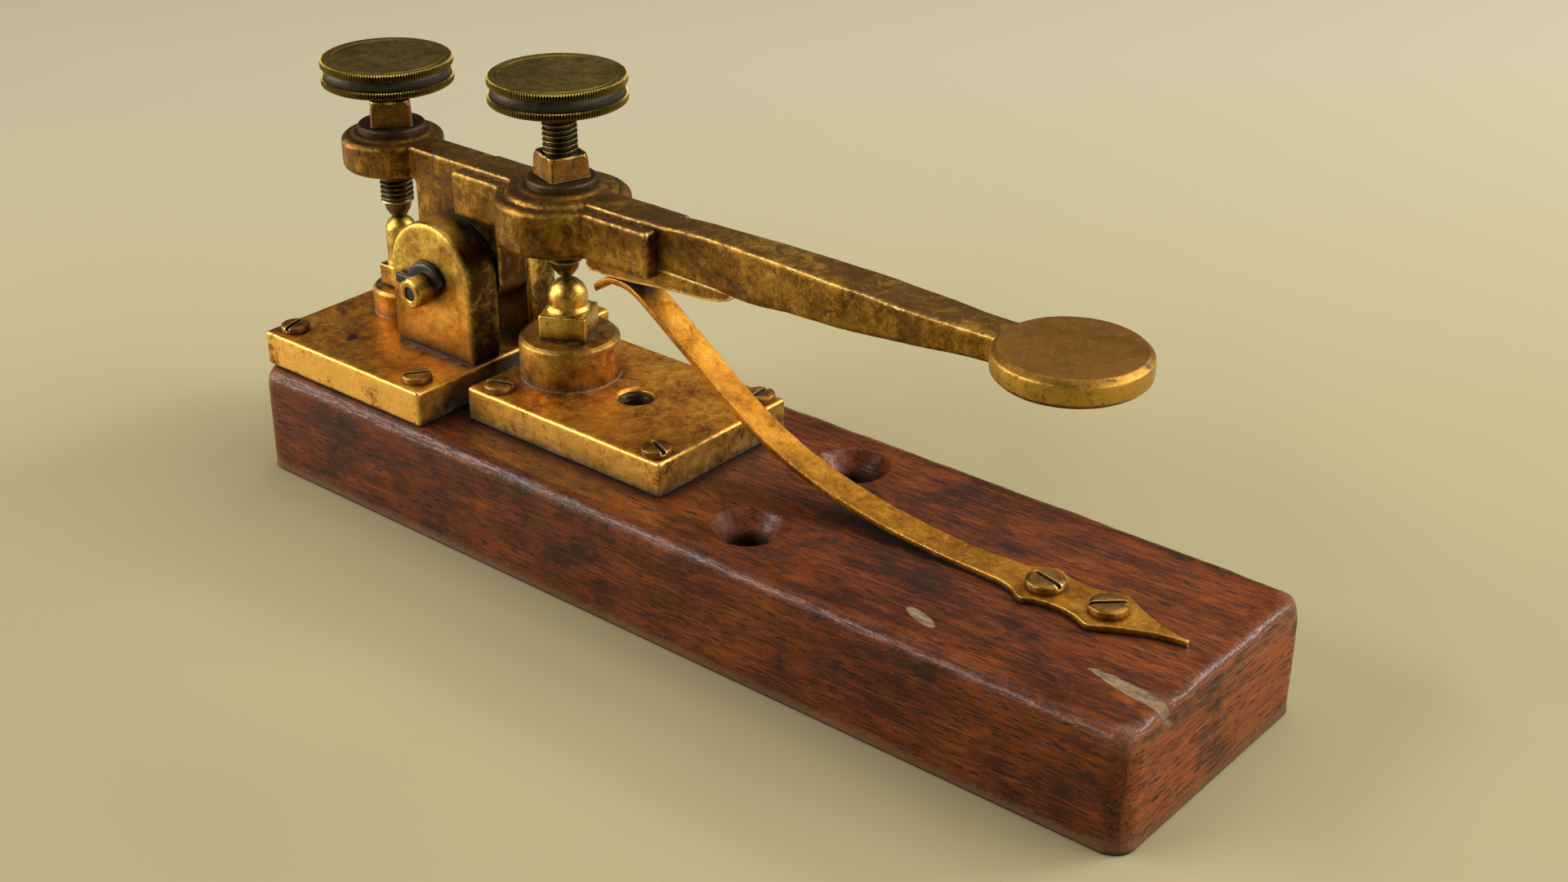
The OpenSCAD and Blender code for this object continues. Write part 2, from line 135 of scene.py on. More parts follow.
class Solid:
    """Vertices in millimetres and faces, gathered from simple sweeps."""

    def __init__(self):
        self.v = []
        self.f = []

    def rows(self, rows, closed=True, start=False, end=False, loop=False):
        """Quads between rows of points; start and end fill the first and last row."""
        base, n = len(self.v), len(rows[0])
        for row in rows:
            self.v.extend(tuple(p) for p in row)
        for j in range(len(rows) if loop else len(rows) - 1):
            k = (j + 1) % len(rows)
            for i in range(n if closed else n - 1):
                m = (i + 1) % n
                self.f.append((base + j * n + i, base + j * n + m, base + k * n + m, base + k * n + i))
        if start:
            self.f.append(tuple(range(base + n - 1, base - 1, -1)))
        if end:
            self.f.append(tuple(range(base + (len(rows) - 1) * n, base + len(rows) * n)))
        return self

    def lathe(self, profile, centre=(0, 0, 0), segments=96, axis="z", radius_at=None):
        """Turns (r, h) points about an axis through centre. radius_at(r, angle) may change r."""
        cx, cy, cz = centre
        rows = []
        for r, h in profile:
            row = []
            for i in range(segments):
                a = FULL * i / segments
                q = radius_at(r, a) if radius_at else r
                if axis == "z":
                    row.append((cx + q * cos(a), cy + q * sin(a), cz + h))
                else:
                    row.append((cx + q * cos(a), cy + h, cz + q * sin(a)))
            rows.append(row)
        return self.rows(rows)

    def prism(self, outline, low, high, axis="z"):
        """An outline swept from low to high along an axis."""
        if axis == "z":
            rows = [[(x, y, h) for x, y in outline] for h in (low, high)]
        else:
            rows = [[(x, h, z) for x, z in outline] for h in (low, high)]
        return self.rows(rows, start=True, end=True)

    def box(self, low, high):
        (x0, y0, z0), (x1, y1, z1) = low, high
        return self.prism([(x0, y0), (x1, y0), (x1, y1), (x0, y1)], z0, z1)

    def turned(self, angle, centre=(0, 0)):
        """Turns everything gathered so far about the upright line through centre."""
        c, s = cos(radians(angle)), sin(radians(angle))
        x0, y0 = centre
        from_centre = [(x - x0, y - y0, z) for x, y, z in self.v]
        self.v = [(x0 + x * c - y * s, y0 + x * s + y * c, z) for x, y, z in from_centre]
        return self

    def take(self, ob):
        """Adds the mesh of ob, and removes ob."""
        base = len(self.v)
        self.v.extend(tuple(v.co) for v in ob.data.vertices)
        self.f.extend(tuple(i + base for i in p.vertices) for p in ob.data.polygons)
        bpy.data.objects.remove(ob)
        return self

    def object(self, name):
        """A Blender object of what was gathered, welded, with its faces turned outwards."""
        mesh = bpy.data.meshes.new(name)
        mesh.from_pydata(self.v, [], self.f)
        bm = bmesh.new()
        bm.from_mesh(mesh)
        bmesh.ops.remove_doubles(bm, verts=bm.verts, dist=1e-4)
        bmesh.ops.dissolve_degenerate(bm, edges=bm.edges, dist=1e-5)
        bmesh.ops.recalc_face_normals(bm, faces=bm.faces)
        bm.to_mesh(mesh)
        bm.free()
        ob = bpy.data.objects.new(name, mesh)
        bpy.context.scene.collection.objects.link(ob)
        return ob


def turning(profile, centre, segments=64, steps=5, axis="z", radius_at=None):
    """A solid of revolution with the fillets of its (r, h, fillet) profile rounded."""
    return Solid().lathe(filleted(profile, steps=steps), centre, segments, axis, radius_at)


def apply_modifiers(ob):
    """Replaces the mesh of ob by what its modifiers make of it."""
    bpy.context.view_layer.update()
    evaluated = ob.evaluated_get(bpy.context.evaluated_depsgraph_get())
    made = bpy.data.meshes.new_from_object(evaluated)
    ob.modifiers.clear()
    old, ob.data = ob.data, made
    bpy.data.meshes.remove(old)
    made.name = ob.name
    return ob


def bevelled(ob, width, segments=3, angle=35):
    """Rounds each edge of ob that is sharper than angle."""
    m = ob.modifiers.new("edges", "BEVEL")
    m.width = width
    m.segments = segments
    m.limit_method = "ANGLE"
    m.angle_limit = radians(angle)
    m.use_clamp_overlap = True
    return apply_modifiers(ob)


def cut(ob, cutter):
    """Takes cutter out of ob."""
    m = ob.modifiers.new("cut", "BOOLEAN")
    m.operation = "DIFFERENCE"
    m.solver = "EXACT"
    m.object = cutter
    apply_modifiers(ob)
    bpy.data.objects.remove(cutter)
    return ob


def fused(ob, voxel):
    """One even skin over everything in ob, with its edges and seams a little softened."""
    m = ob.modifiers.new("skin", "REMESH")
    m.mode = "VOXEL"
    m.voxel_size = voxel
    m = ob.modifiers.new("soften", "SMOOTH")
    m.factor = 0.5
    m.iterations = 3
    return apply_modifiers(ob)


def shifted(ob, shift):
    """Moves each vertex along its normal by shift(point) mm."""
    n = len(ob.data.vertices)
    co, no = np.empty(n * 3, np.float32), np.empty(n * 3, np.float32)
    ob.data.vertices.foreach_get("co", co)
    ob.data.vertex_normals.foreach_get("vector", no)
    co, no = co.reshape(-1, 3), no.reshape(-1, 3)
    by = np.array([shift(p) for p in co.tolist()], np.float32)
    ob.data.vertices.foreach_set("co", (co + no * by[:, None]).ravel())
    ob.data.update()
    return ob


def worn(ob, amount, size, seed=0.0, fine=0.0, fine_size=1.0):
    """Moves each vertex along its normal by soft noise, up to about amount mm."""

    def shift(p):
        x, y, z = p
        d = amount * noise.fractal(Vector((x / size + seed, y / size, z / size)), 0.9, 2.0, 3)
        if fine:
            d += fine * noise.noise(Vector((x / fine_size, y / fine_size + seed, z / fine_size)))
        return d

    return shifted(ob, shift)


def piece(ob, body, nodes, material, sharp=32, weighted=False, blend=None):
    """Finishes a piece: metres, shading, material, the body it rides on and the nodes it stands for."""
    ob.data.transform(Matrix.Scale(MM, 4))
    ob.data.shade_smooth()
    ob.data.set_sharp_from_angle(angle=radians(sharp))
    if weighted:
        w = ob.modifiers.new("normals", "WEIGHTED_NORMAL")
        w.keep_sharp = True
        w.weight = 60
    ob.data.materials.clear()
    ob.data.materials.append(material)
    if blend:
        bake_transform(ob)
    else:
        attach(ob, body)
    if nodes:
        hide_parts(*nodes)
    return ob


# ---------- materials ----------


class Shader:
    """A node material, built by small calls. Lengths in its textures are in millimetres."""

    def __init__(self, name):
        self.mat = bpy.data.materials.new(name)
        self.mat.use_nodes = True
        self.tree = self.mat.node_tree
        self.tree.nodes.clear()
        self.bsdf = self.new("BsdfPrincipled")
        out = self.new("OutputMaterial")
        self.link(self.bsdf.outputs[0], out.inputs[0])
        where = self.new("TexCoord")
        self.mm = self.mapped(where.outputs["Object"], (1000, 1000, 1000))
        self.facing = self.split(where.outputs["Normal"])

    def new(self, kind, **settings):
        node = self.tree.nodes.new("ShaderNode" + kind)
        for k, v in settings.items():
            setattr(node, k, v)
        return node

    def link(self, a, b):
        self.tree.links.new(a, b)

    def put(self, value, socket):
        """Links an output to socket, or sets a number or a colour; a number given as a colour is a grey."""
        if isinstance(value, bpy.types.NodeSocket):
            self.link(value, socket)
        elif socket.type == "RGBA":
            socket.default_value = (*(value if isinstance(value, tuple) else (value,) * 3), 1)
        else:
            socket.default_value = value

    def split(self, vector):
        """The x, y and z of a vector."""
        parts = self.new("SeparateXYZ")
        self.link(vector, parts.inputs[0])
        return parts.outputs

    def mapped(self, vector, scale=(1, 1, 1), move=(0, 0, 0), turn=(0, 0, 0)):
        m = self.new("Mapping")
        self.link(vector, m.inputs["Vector"])
        m.inputs["Scale"].default_value = scale
        m.inputs["Location"].default_value = move
        m.inputs["Rotation"].default_value = [radians(a) for a in turn]
        return m.outputs[0]

    def noise(self, scale, detail=4, rough=0.55, at=None, warp=0.0):
        n = self.new("TexNoise")
        self.link(at or self.mm, n.inputs["Vector"])
        n.inputs["Scale"].default_value = scale
        n.inputs["Detail"].default_value = detail
        n.inputs["Roughness"].default_value = rough
        n.inputs["Distortion"].default_value = warp
        return n.outputs["Fac"]

    def cells(self, scale, at):
        n = self.new("TexVoronoi")
        self.link(at, n.inputs["Vector"])
        n.inputs["Scale"].default_value = scale
        return n.outputs["Distance"]

    def ramp(self, value, *stops):
        """A colour, or a grey, between (position, colour) stops."""
        r = self.new("ValToRGB")
        e = r.color_ramp.elements
        while len(e) < len(stops):
            e.new(0.5)
        for slot, (pos, colour) in zip(e, stops):
            slot.position = pos
            slot.color = (*(colour if isinstance(colour, tuple) else (colour,) * 3), 1)
        self.link(value, r.inputs[0])
        return r.outputs[0]

    def math(self, op, a, b=0.0, c=0.0, clamp=False):
        m = self.new("Math", operation=op, use_clamp=clamp)
        for v, s in zip((a, b, c), m.inputs):
            self.put(v, s)
        return m.outputs[0]

    def step(self, value, low, high):
        """0 below low, 1 above high, smooth between; low may be the higher one."""
        m = self.new("MapRange", interpolation_type="SMOOTHSTEP")
        self.put(value, m.inputs["Value"])
        m.inputs["From Min"].default_value = low
        m.inputs["From Max"].default_value = high
        return m.outputs[0]

    def mix(self, t, a, b):
        m = self.new("Mix", data_type="RGBA")
        self.put(t, m.inputs[0])
        self.put(a, m.inputs[6])
        self.put(b, m.inputs[7])
        return m.outputs[2]

    def times(self, *values):
        out = values[0]
        for v in values[1:]:
            out = self.math("MULTIPLY", out, v)
        return out

    def plus(self, a, b):
        return self.math("ADD", a, b)

    def minus(self, a, b, clamp=False):
        return self.math("SUBTRACT", a, b, clamp=clamp)

    def swing(self, value, amount):
        """A 0 to 1 value as one that swings amount about 0."""
        return self.times(self.minus(value, 0.5), amount)

    def hidden(self, reach, **settings):
        n = self.new("AmbientOcclusion", samples=8, **settings)
        n.inputs["Distance"].default_value = reach * MM
        return self.minus(1.0, n.outputs["AO"])

    def edges(self, reach):
        """1 on outward edges, 0 elsewhere."""
        return self.hidden(reach, inside=True, only_local=True)

    def corners(self, reach):
        """1 deep in inward corners and where pieces touch, 0 in the open."""
        return self.hidden(reach)

    def bump(self, height, strength, depth, under=None):
        b = self.new("Bump")
        b.inputs["Strength"].default_value = strength
        b.inputs["Distance"].default_value = depth * MM
        self.link(height, b.inputs["Height"])
        if under:
            self.link(under, b.inputs["Normal"])
        return b.outputs[0]

    def finish(self, colour, roughness, metallic, normal=None, specular=None):
        self.put(colour, self.bsdf.inputs["Base Color"])
        self.put(roughness, self.bsdf.inputs["Roughness"])
        self.put(metallic, self.bsdf.inputs["Metallic"])
        if normal:
            self.link(normal, self.bsdf.inputs["Normal"])
        if specular:
            self.put(specular, self.bsdf.inputs["Specular IOR Level"])
        return self.mat


GOUGE = (94.6, -15.6)
STAIN = (0.035, 0.020, 0.016)
LEE_SHADE = (0.040, 0.020, 0.0065)
FOOT_SHADE = (0.045, 0.022, 0.0065)
CORNER_SHADE = (0.020, 0.010, 0.0045)
BLOT_SHADE = (0.030, 0.024, 0.026)


def brass(name, dark, mid, light, side=None, top=None, edge=(1.0, 0.74, 0.26), tint=(0.52, 0.16, 0.035),
          dust=(0.060, 0.046, 0.036), stains=0.35, spots=0.3, rough=(0.30, 0.52), wear=0.9, seed=0.0, edge_reach=0.9,
          ragged_edge=0.75, corner_reach=5.0, gloom=0.7, hollow=(0.16, 0.66), film=(0.42, 0.80), lee=0.0, foot=None,
          blot=None):
    """Aged brass: patina in patches, stains, copper spots, pits, bright worn edges, dust and painted shade in
    corners, and painted light and shade on some faces.

    dark, mid, light: the patina's tones. side: a lighter colour for upright faces, painted light. top: a dull film
    for upward ones.
    edge: the worn edges' colour, reached edge_reach mm in, wear strong and ragged_edge uneven.
    stains and spots: how much of each, 0 to 1; spots are coloured tint. rough: the range of roughness.
    hollow and film: how closed in a place is where gloom, the painted shade, and dust, begin and are full,
    corner_reach mm around.
    lee: painted shade on the +X faces. foot: painted shade, darker towards the bottom, as low z, high z, amount.
    blot: centre of one stain.
    """
    s = Shader(name)
    at = s.mapped(s.mm, move=(seed, seed * 1.7, seed * 0.6))
    wide = s.noise(0.085, 4, 0.6, at, 0.4)
    middle = s.noise(0.42, 9, 0.74, at, 0.5)
    fine = s.noise(2.6, 6, 0.75, at)
    tone = s.plus(s.times(wide, 0.40), s.plus(s.times(middle, 0.42), s.times(fine, 0.18)))
    colour = s.ramp(tone, (0.40, dark), (0.50, mid), (0.61, light))
    ahead, _, up = s.facing
    # Painted light: upright faces are made lighter with the side colour.
    if side:
        upright = s.step(s.math("ABSOLUTE", up), 0.75, 0.45)
        colour = s.mix(s.times(upright, s.step(tone, 0.40, 0.50)), colour, side)
    rubbed = s.step(s.noise(1.1, 12, 0.80, s.mapped(at, move=(61, 17, 9)), 0.3), 0.545, 0.585)
    colour = s.mix(s.times(rubbed, s.step(wide, 0.40, 0.54), 0.80), colour, light)
    patches = s.noise(0.20, 10, 0.76, s.mapped(at, move=(41, 7, 3)), 0.9)
    patch = s.step(patches, 0.64 - 0.12 * stains, 0.68 - 0.10 * stains)
    colour = s.mix(s.times(patch, s.step(fine, 0.36, 0.52), 0.85), colour, STAIN)
    warmth = s.noise(0.50, 8, 0.74, s.mapped(at, move=(11, 29, 5)), 0.6)
    warm = s.step(warmth, 0.66 - 0.12 * spots, 0.72 - 0.10 * spots)
    colour = s.mix(s.times(warm, 0.65), colour, tint)
    pit = s.step(s.plus(s.cells(1.3, s.mapped(at, move=(3, 3, 3))), s.times(fine, 0.35)), 0.33, 0.24)
    pit = s.times(pit, s.step(s.noise(0.13, 3, 0.6, s.mapped(at, move=(9, 1, 77))), 0.50, 0.62))
    colour = s.mix(s.times(pit, 0.85), colour, STAIN)
    if blot:
        spot = s.new("VectorMath", operation="DISTANCE")
        s.link(s.mm, spot.inputs[0])
        spot.inputs[1].default_value = blot
        ragged = s.plus(spot.outputs["Value"], s.swing(s.noise(0.75, 5, 0.7, s.mm, 1.0), 6.5))
        colour = s.mix(s.times(s.step(ragged, 1.5, 0.9), 0.8), colour, BLOT_SHADE)
    # Painted shade: the +X faces are darkened towards LEE_SHADE.
    if lee:
        colour = s.mix(s.times(s.step(ahead, 0.55, 0.85), s.step(tone, 0.62, 0.46), lee), colour, LEE_SHADE)
    # Painted shade: the colour is darker towards the bottom, below high z.
    if foot:
        low, high, amount = foot
        colour = s.mix(s.times(s.step(s.split(s.mm)[2], high, low), amount), colour, FOOT_SHADE)
    if top:
        dull = s.times(s.step(up, 0.60, 0.92), s.step(s.plus(middle, s.times(fine, 0.3)), 0.76, 0.54))
        colour = s.mix(s.times(dull, 0.9), colour, top)
    # Painted shade: the colour is darkened towards CORNER_SHADE where other parts close in, as much as gloom.
    inner = s.corners(corner_reach)
    colour = s.mix(s.times(s.step(inner, *hollow), gloom), colour, CORNER_SHADE)
    ragged = s.swing(s.noise(1.1, 7, 0.75, at), ragged_edge)
    worn_edge = s.times(s.step(s.plus(s.edges(edge_reach), ragged), 0.17, 0.33), wear)
    colour = s.mix(worn_edge, colour, edge)
    # Dust laid where other parts close in; darker than the brass, it deepens the painted shade there, and makes those
    # places rougher and less metallic.
    dust_and_shade = s.times(s.step(s.plus(inner, s.swing(middle, 0.9)), *film), 0.85)
    colour = s.mix(dust_and_shade, colour, dust)
    roughness = s.ramp(s.plus(s.times(middle, 0.5), s.times(fine, 0.5)), (0.38, rough[0]), (0.62, rough[1]))
    roughness = s.mix(s.times(patch, 0.6), roughness, 0.62)
    if top:
        roughness = s.mix(s.times(dull, 0.8), roughness, 0.60)
    roughness = s.mix(worn_edge, roughness, 0.26)
    roughness = s.mix(dust_and_shade, roughness, 0.85)
    metallic = s.minus(1.0, s.plus(s.times(dust_and_shade, 0.75), s.times(patch, 0.30)), clamp=True)
    if top:
        metallic = s.minus(metallic, s.times(dull, 0.15), clamp=True)
    height = s.plus(s.times(fine, 0.6), s.times(s.noise(7.0, 3, 0.6, at), 0.30))
    height = s.minus(height, s.plus(s.times(pit, 0.5), s.times(patch, 0.12)))
    normal = s.bump(height, 0.7, 0.07)
    normal = s.bump(middle, 0.45, 0.25, normal)
    return s.finish(colour, roughness, metallic, normal)


def mahogany(name):
    """Varnished worn mahogany, its grain along X and, on the ends, along Y, with three pale scars; its end faces are
    painted lighter and its corners painted with shade.
    """
    s = Shader(name)
    ahead = s.facing[0]
    swap = s.new("Mix", data_type="VECTOR")
    s.put(s.step(s.math("ABSOLUTE", ahead), 0.66, 0.78), swap.inputs[0])
    s.link(s.mm, swap.inputs[4])
    s.link(s.mapped(s.mm, move=(17, 5, 2), turn=(0, 5, 90)), swap.inputs[5])
    at = s.mapped(swap.outputs[1], turn=(0, 1.5, -2.0))
    fibre = s.noise(3.2, 7, 0.70, s.mapped(at, (0.045, 1, 1)), 0.35)
    bands = s.noise(0.42, 7, 0.66, s.mapped(at, (0.11, 1, 1), (3, 8, 1)), 0.6)
    strokes = s.noise(3.0, 4, 0.65, s.mapped(at, (0.085, 1, 1), (9, 2, 4)), 0.2)
    cloud = s.noise(0.050, 6, 0.66, s.mapped(at, move=(5, 4, 9)), 0.7)
    ruddy = s.noise(0.16, 9, 0.74, s.mapped(at, (0.6, 1, 1), (25, 14, 2)), 0.5)
    flecks = s.noise(0.75, 8, 0.75, s.mapped(at, (0.4, 1, 1), (2, 31, 8)), 0.3)
    tone = s.plus(s.times(fibre, 0.40), s.plus(s.times(bands, 0.34), s.times(cloud, 0.26)))
    colour = s.ramp(tone, (0.38, (0.009, 0.0024, 0.0007)), (0.45, (0.040, 0.0080, 0.0010)),
                    (0.51, (0.106, 0.0200, 0.0014)), (0.60, (0.235, 0.0550, 0.0046)))
    colour = s.mix(s.times(s.step(ruddy, 0.48, 0.62), 0.55), colour, (0.182, 0.0340, 0.0020))
    fleck = s.times(s.step(flecks, 0.60, 0.70), s.step(fibre, 0.42, 0.58), 0.65)
    colour = s.mix(fleck, colour, (0.33, 0.085, 0.017))
    # Painted light: the end faces, facing along X, are made lighter and redder.
    painted_end_light = s.times(s.step(ahead, 0.66, 0.78), s.step(tone, 0.42, 0.52), 0.50)
    colour = s.mix(painted_end_light, colour, (0.34, 0.082, 0.014))
    soot = s.times(s.step(cloud, 0.46, 0.35), s.step(flecks, 0.42, 0.56), 0.62)
    colour = s.mix(soot, colour, (0.0125, 0.0060, 0.0045))
    pore = s.times(s.step(strokes, 0.54, 0.60), s.step(bands, 0.34, 0.48))
    colour = s.mix(s.times(pore, 0.88), colour, (0.0060, 0.0020, 0.0012))
    out = s.times(s.edges(5.0), 2.0)
    rub = s.step(s.plus(out, s.swing(s.noise(0.8, 9, 0.76), 1.3)), 0.36, 0.62)
    colour = s.mix(s.times(rub, 0.16), colour, (0.150, 0.052, 0.030))
    splinters = s.swing(s.noise(1.6, 9, 0.8, s.mapped(s.mm, (0.6, 1, 1), (7, 7, 7))), 2.2)
    chip = s.times(s.step(s.plus(s.times(out, 1.5), splinters), 0.86, 1.00), 0.7)
    colour = s.mix(chip, colour, (0.30, 0.150, 0.075))

    def scar(centre, half, turn, ragged):
        """A bare place: an ellipsoid with half axes half, its long axis turned from X."""
        placed = s.mapped(s.mapped(s.mm, move=[-c for c in centre]), turn=(0, 0, -turn))
        length = s.new("VectorMath", operation="LENGTH")
        s.link(s.mapped(placed, tuple(1 / h for h in half)), length.inputs[0])
        return s.step(s.plus(length.outputs["Value"], s.swing(s.noise(0.8, 5, 0.7), ragged)), 1.04, 0.93)

    scars = s.math("MAXIMUM", scar((*GOUGE, base_h), (10.2, 1.45, 3.4), -6.0, 0.55),
                   scar((56.1, -19.3, base_h), (3.7, 1.15, 3), -18.7, 0.35))
    scars = s.math("MAXIMUM", scars, scar((9.6, 14.7, base_h), (1.1, 0.6, 3), 0.0, 0.3))
    bare = s.ramp(s.noise(1.2, 7, 0.7, s.mapped(at, (0.3, 1, 1))), (0.36, (0.085, 0.052, 0.030)),
                  (0.50, (0.19, 0.130, 0.070)), (0.64, (0.31, 0.205, 0.100)))
    colour = s.mix(scars, colour, bare)
    # Painted shade: a near-black colour where other things close in, as in the hole funnels, round the plates and
    # screws and low on the sides by the floor; these places are made rougher too.
    dust_and_shade = s.times(s.step(s.corners(9.0), 0.22, 0.66), 0.92)
    colour = s.mix(dust_and_shade, colour, (0.0075, 0.0040, 0.0030))
    sheen = s.plus(s.times(s.noise(0.30, 8, 0.74), 0.7), s.times(fibre, 0.3))
    roughness = s.ramp(sheen, (0.38, 0.34), (0.62, 0.56))
    rounded = s.step(out, 0.03, 0.14)
    roughness = s.mix(rounded, roughness, 0.20)
    roughness = s.mix(s.times(pore, 0.5), roughness, 0.7)
    roughness = s.mix(s.math("MAXIMUM", scars, dust_and_shade), roughness, 0.85)
    height = s.minus(s.times(fibre, 0.8), s.plus(s.times(pore, 0.45), s.times(scars, 1.2)))
    normal = s.bump(height, 0.7, 0.07)
    knocks = s.times(s.minus(s.noise(0.5, 5, 0.6), 0.5), s.plus(s.times(rounded, 1.6), 1.0))
    normal = s.bump(knocks, 0.30, 0.22, normal)
    return s.finish(colour, roughness, 0.0, normal, specular=0.26)


def dark_metal(name, base, high, rough=(0.35, 0.6), metallic=0.9, seed=0.0, wear=0.6):
    """Dull dark steel with a little wear on its edges."""
    s = Shader(name)
    at = s.mapped(s.mm, move=(seed, 2 * seed, seed))
    a, b = s.noise(0.8, 6, 0.65, at, 0.3), s.noise(5.0, 4, 0.6, at)
    colour = s.ramp(s.plus(s.times(a, 0.7), s.times(b, 0.3)), (0.35, base), (0.65, high))
    worn_edge = s.times(s.step(s.plus(s.edges(0.5), s.swing(a, 0.6)), 0.32, 0.55), wear)
    colour = s.mix(worn_edge, colour, (0.3, 0.28, 0.26))
    roughness = s.ramp(a, (0.35, rough[0]), (0.65, rough[1]))
    return s.finish(colour, roughness, metallic, s.bump(b, 0.4, 0.05))


_, base_high = box_mm("wood_base")
half_l, half_w, base_h = base_high
wood = mahogany("mahogany")
plate_brass = brass(
    "plate_brass", (0.28, 0.100, 0.012), (0.70, 0.285, 0.030), (0.92, 0.47, 0.066),
    side=(0.90, 0.51, 0.105), dust=(0.17, 0.135, 0.11), stains=0.5, spots=0.8, seed=3,
    corner_reach=7.0, gloom=0.80, hollow=(0.20, 0.60), film=(0.36, 0.68), lee=0.4,
    blot=(-83.1, -16.7, 29.0))
post_brass = brass(
    "post_brass", (0.22, 0.102, 0.017), (0.49, 0.285, 0.046), (0.80, 0.57, 0.130),
    stains=0.3, spots=0.35, seed=31, corner_reach=8.0, gloom=0.95, hollow=(0.14, 0.52),
    lee=0.92, foot=(28.0, 45.0, 0.80))
boss_brass = brass(
    "boss_brass", (0.13, 0.053, 0.009), (0.31, 0.150, 0.026), (0.56, 0.32, 0.062),
    dust=(0.15, 0.12, 0.10), stains=0.4, spots=0.45, seed=14, corner_reach=6.0, gloom=0.85,
    film=(0.36, 0.68))
lever_brass = brass(
    "lever_brass", (0.060, 0.028, 0.006), (0.190, 0.088, 0.013), (0.48, 0.255, 0.036),
    top=(0.100, 0.043, 0.007), dust=(0.050, 0.036, 0.026), stains=0.65, spots=0.25, seed=12,
    corner_reach=6.0, gloom=0.85, lee=0.7)
disc_brass = brass(
    "disc_brass", (0.085, 0.038, 0.007), (0.23, 0.105, 0.015), (0.38, 0.195, 0.028),
    side=(0.50, 0.29, 0.046), top=(0.235, 0.100, 0.014), dust=(0.055, 0.040, 0.030),
    stains=0.6, spots=0.25, seed=29)
bright_brass = brass(
    "bright_brass", (0.22, 0.105, 0.020), (0.50, 0.29, 0.052), (0.80, 0.56, 0.14),
    stains=0.3, spots=0.15, rough=(0.24, 0.40), seed=7, edge_reach=0.35, ragged_edge=0.35,
    corner_reach=4.0, gloom=0.85)
thread_brass = brass(
    "thread_brass", (0.040, 0.027, 0.010), (0.085, 0.060, 0.021), (0.17, 0.125, 0.040),
    edge=(0.62, 0.52, 0.24), dust=(0.010, 0.008, 0.006), stains=0.3, spots=0.1,
    rough=(0.28, 0.45), seed=19, edge_reach=0.22, corner_reach=0.9, gloom=0.95)
hole_brass = brass(
    "hole_brass", (0.030, 0.018, 0.006), (0.070, 0.040, 0.012), (0.13, 0.080, 0.022),
    edge=(0.45, 0.30, 0.10), dust=(0.008, 0.006, 0.004), stains=0.3, spots=0.1,
    rough=(0.4, 0.6), seed=5, edge_reach=0.2, corner_reach=6.0, gloom=0.97)
knob_brass = brass(
    "knob_brass", (0.080, 0.049, 0.009), (0.155, 0.104, 0.017), (0.240, 0.166, 0.029),
    edge=(0.42, 0.32, 0.095), tint=(0.070, 0.034, 0.018), dust=(0.016, 0.012, 0.008),
    stains=0.3, spots=0.8, rough=(0.34, 0.50), wear=0.65, seed=23, edge_reach=0.22,
    ragged_edge=0.5, corner_reach=0.9, gloom=0.95)
nut_brass = brass(
    "nut_brass", (0.065, 0.029, 0.007), (0.165, 0.077, 0.015), (0.31, 0.155, 0.028),
    dust=(0.04, 0.03, 0.024), stains=0.45, spots=0.2, seed=37, edge_reach=0.45,
    ragged_edge=0.5, corner_reach=3.0)
spring_brass = brass(
    "spring_brass", (0.180, 0.066, 0.007), (0.42, 0.172, 0.017), (0.64, 0.320, 0.040),
    stains=0.3, spots=0.5, rough=(0.36, 0.55), seed=43, edge_reach=0.36, ragged_edge=0.6)
screw_brass = brass(
    "screw_brass", (0.11, 0.048, 0.014), (0.27, 0.128, 0.026), (0.42, 0.235, 0.055),
    dust=(0.026, 0.025, 0.026), stains=0.45, spots=0.2, seed=53, edge_reach=0.32,
    ragged_edge=0.5, corner_reach=1.6, gloom=0.9)
washer_brass = brass(
    "washer_brass", (0.034, 0.022, 0.013), (0.066, 0.043, 0.024), (0.105, 0.070, 0.036),
    edge=(0.20, 0.15, 0.085), dust=(0.03, 0.024, 0.02), stains=0.3, spots=0.05,
    rough=(0.48, 0.66), seed=71, edge_reach=0.4, ragged_edge=0.5, corner_reach=2.0)
seam_metal = brass(
    "seam_metal", (0.030, 0.020, 0.012), (0.075, 0.048, 0.022), (0.15, 0.095, 0.040),
    edge=(0.30, 0.21, 0.10), dust=(0.03, 0.026, 0.022), stains=0.6, spots=0.1,
    rough=(0.5, 0.7), seed=83, edge_reach=0.15, corner_reach=1.0)
band_steel = dark_metal("band_steel", (0.034, 0.029, 0.024), (0.062, 0.052, 0.041), seed=3, wear=0.2)
core_steel = dark_metal("core_steel", (0.025, 0.027, 0.030), (0.065, 0.070, 0.075), seed=9)
black_steel = dark_metal(
    "black_steel", (0.006, 0.006, 0.007), (0.014, 0.014, 0.016), rough=(0.24, 0.40),
    metallic=0.3, seed=5, wear=0.15)


# ---------- wooden base ----------

EDGE_R, CORNER_R, FOOT_R = 3.0, 4.5, 0.6
WIRE_HOLE_X = -23.5


def rounded_by(x, r):
    """How far an edge of radius r stands out from its centre line at x."""
    past = max(0.0, abs(x) - (half_l - r))
    return sqrt(max(0.0, r ** 2 - past ** 2))


def base_section(x):
    """One upright slice of the block at x: a closed line of points."""
    w = half_w - CORNER_R + rounded_by(x, CORNER_R)
    top = base_h - EDGE_R + rounded_by(x, EDGE_R)
    low = FOOT_R - rounded_by(x, FOOT_R)
    pts = [((w - FOOT_R) * i / 20, low) for i in range(20)]
    pts += arc(w - FOOT_R, low + FOOT_R, FOOT_R, -90, 0, 3)
    zs = low + FOOT_R
    ze = top - EDGE_R
    pts += [(w, zs + (ze - zs) * i / 16) for i in range(1, 16)]
    pts += arc(w - EDGE_R, top - EDGE_R, EDGE_R, 0, 90, 8)
    pts += [((w - EDGE_R) * (1 - i / 28), top) for i in range(1, 29)]
    left = [(-y, z) for y, z in reversed(pts[1:-1])]
    return [(x, y, z) for y, z in pts + left]


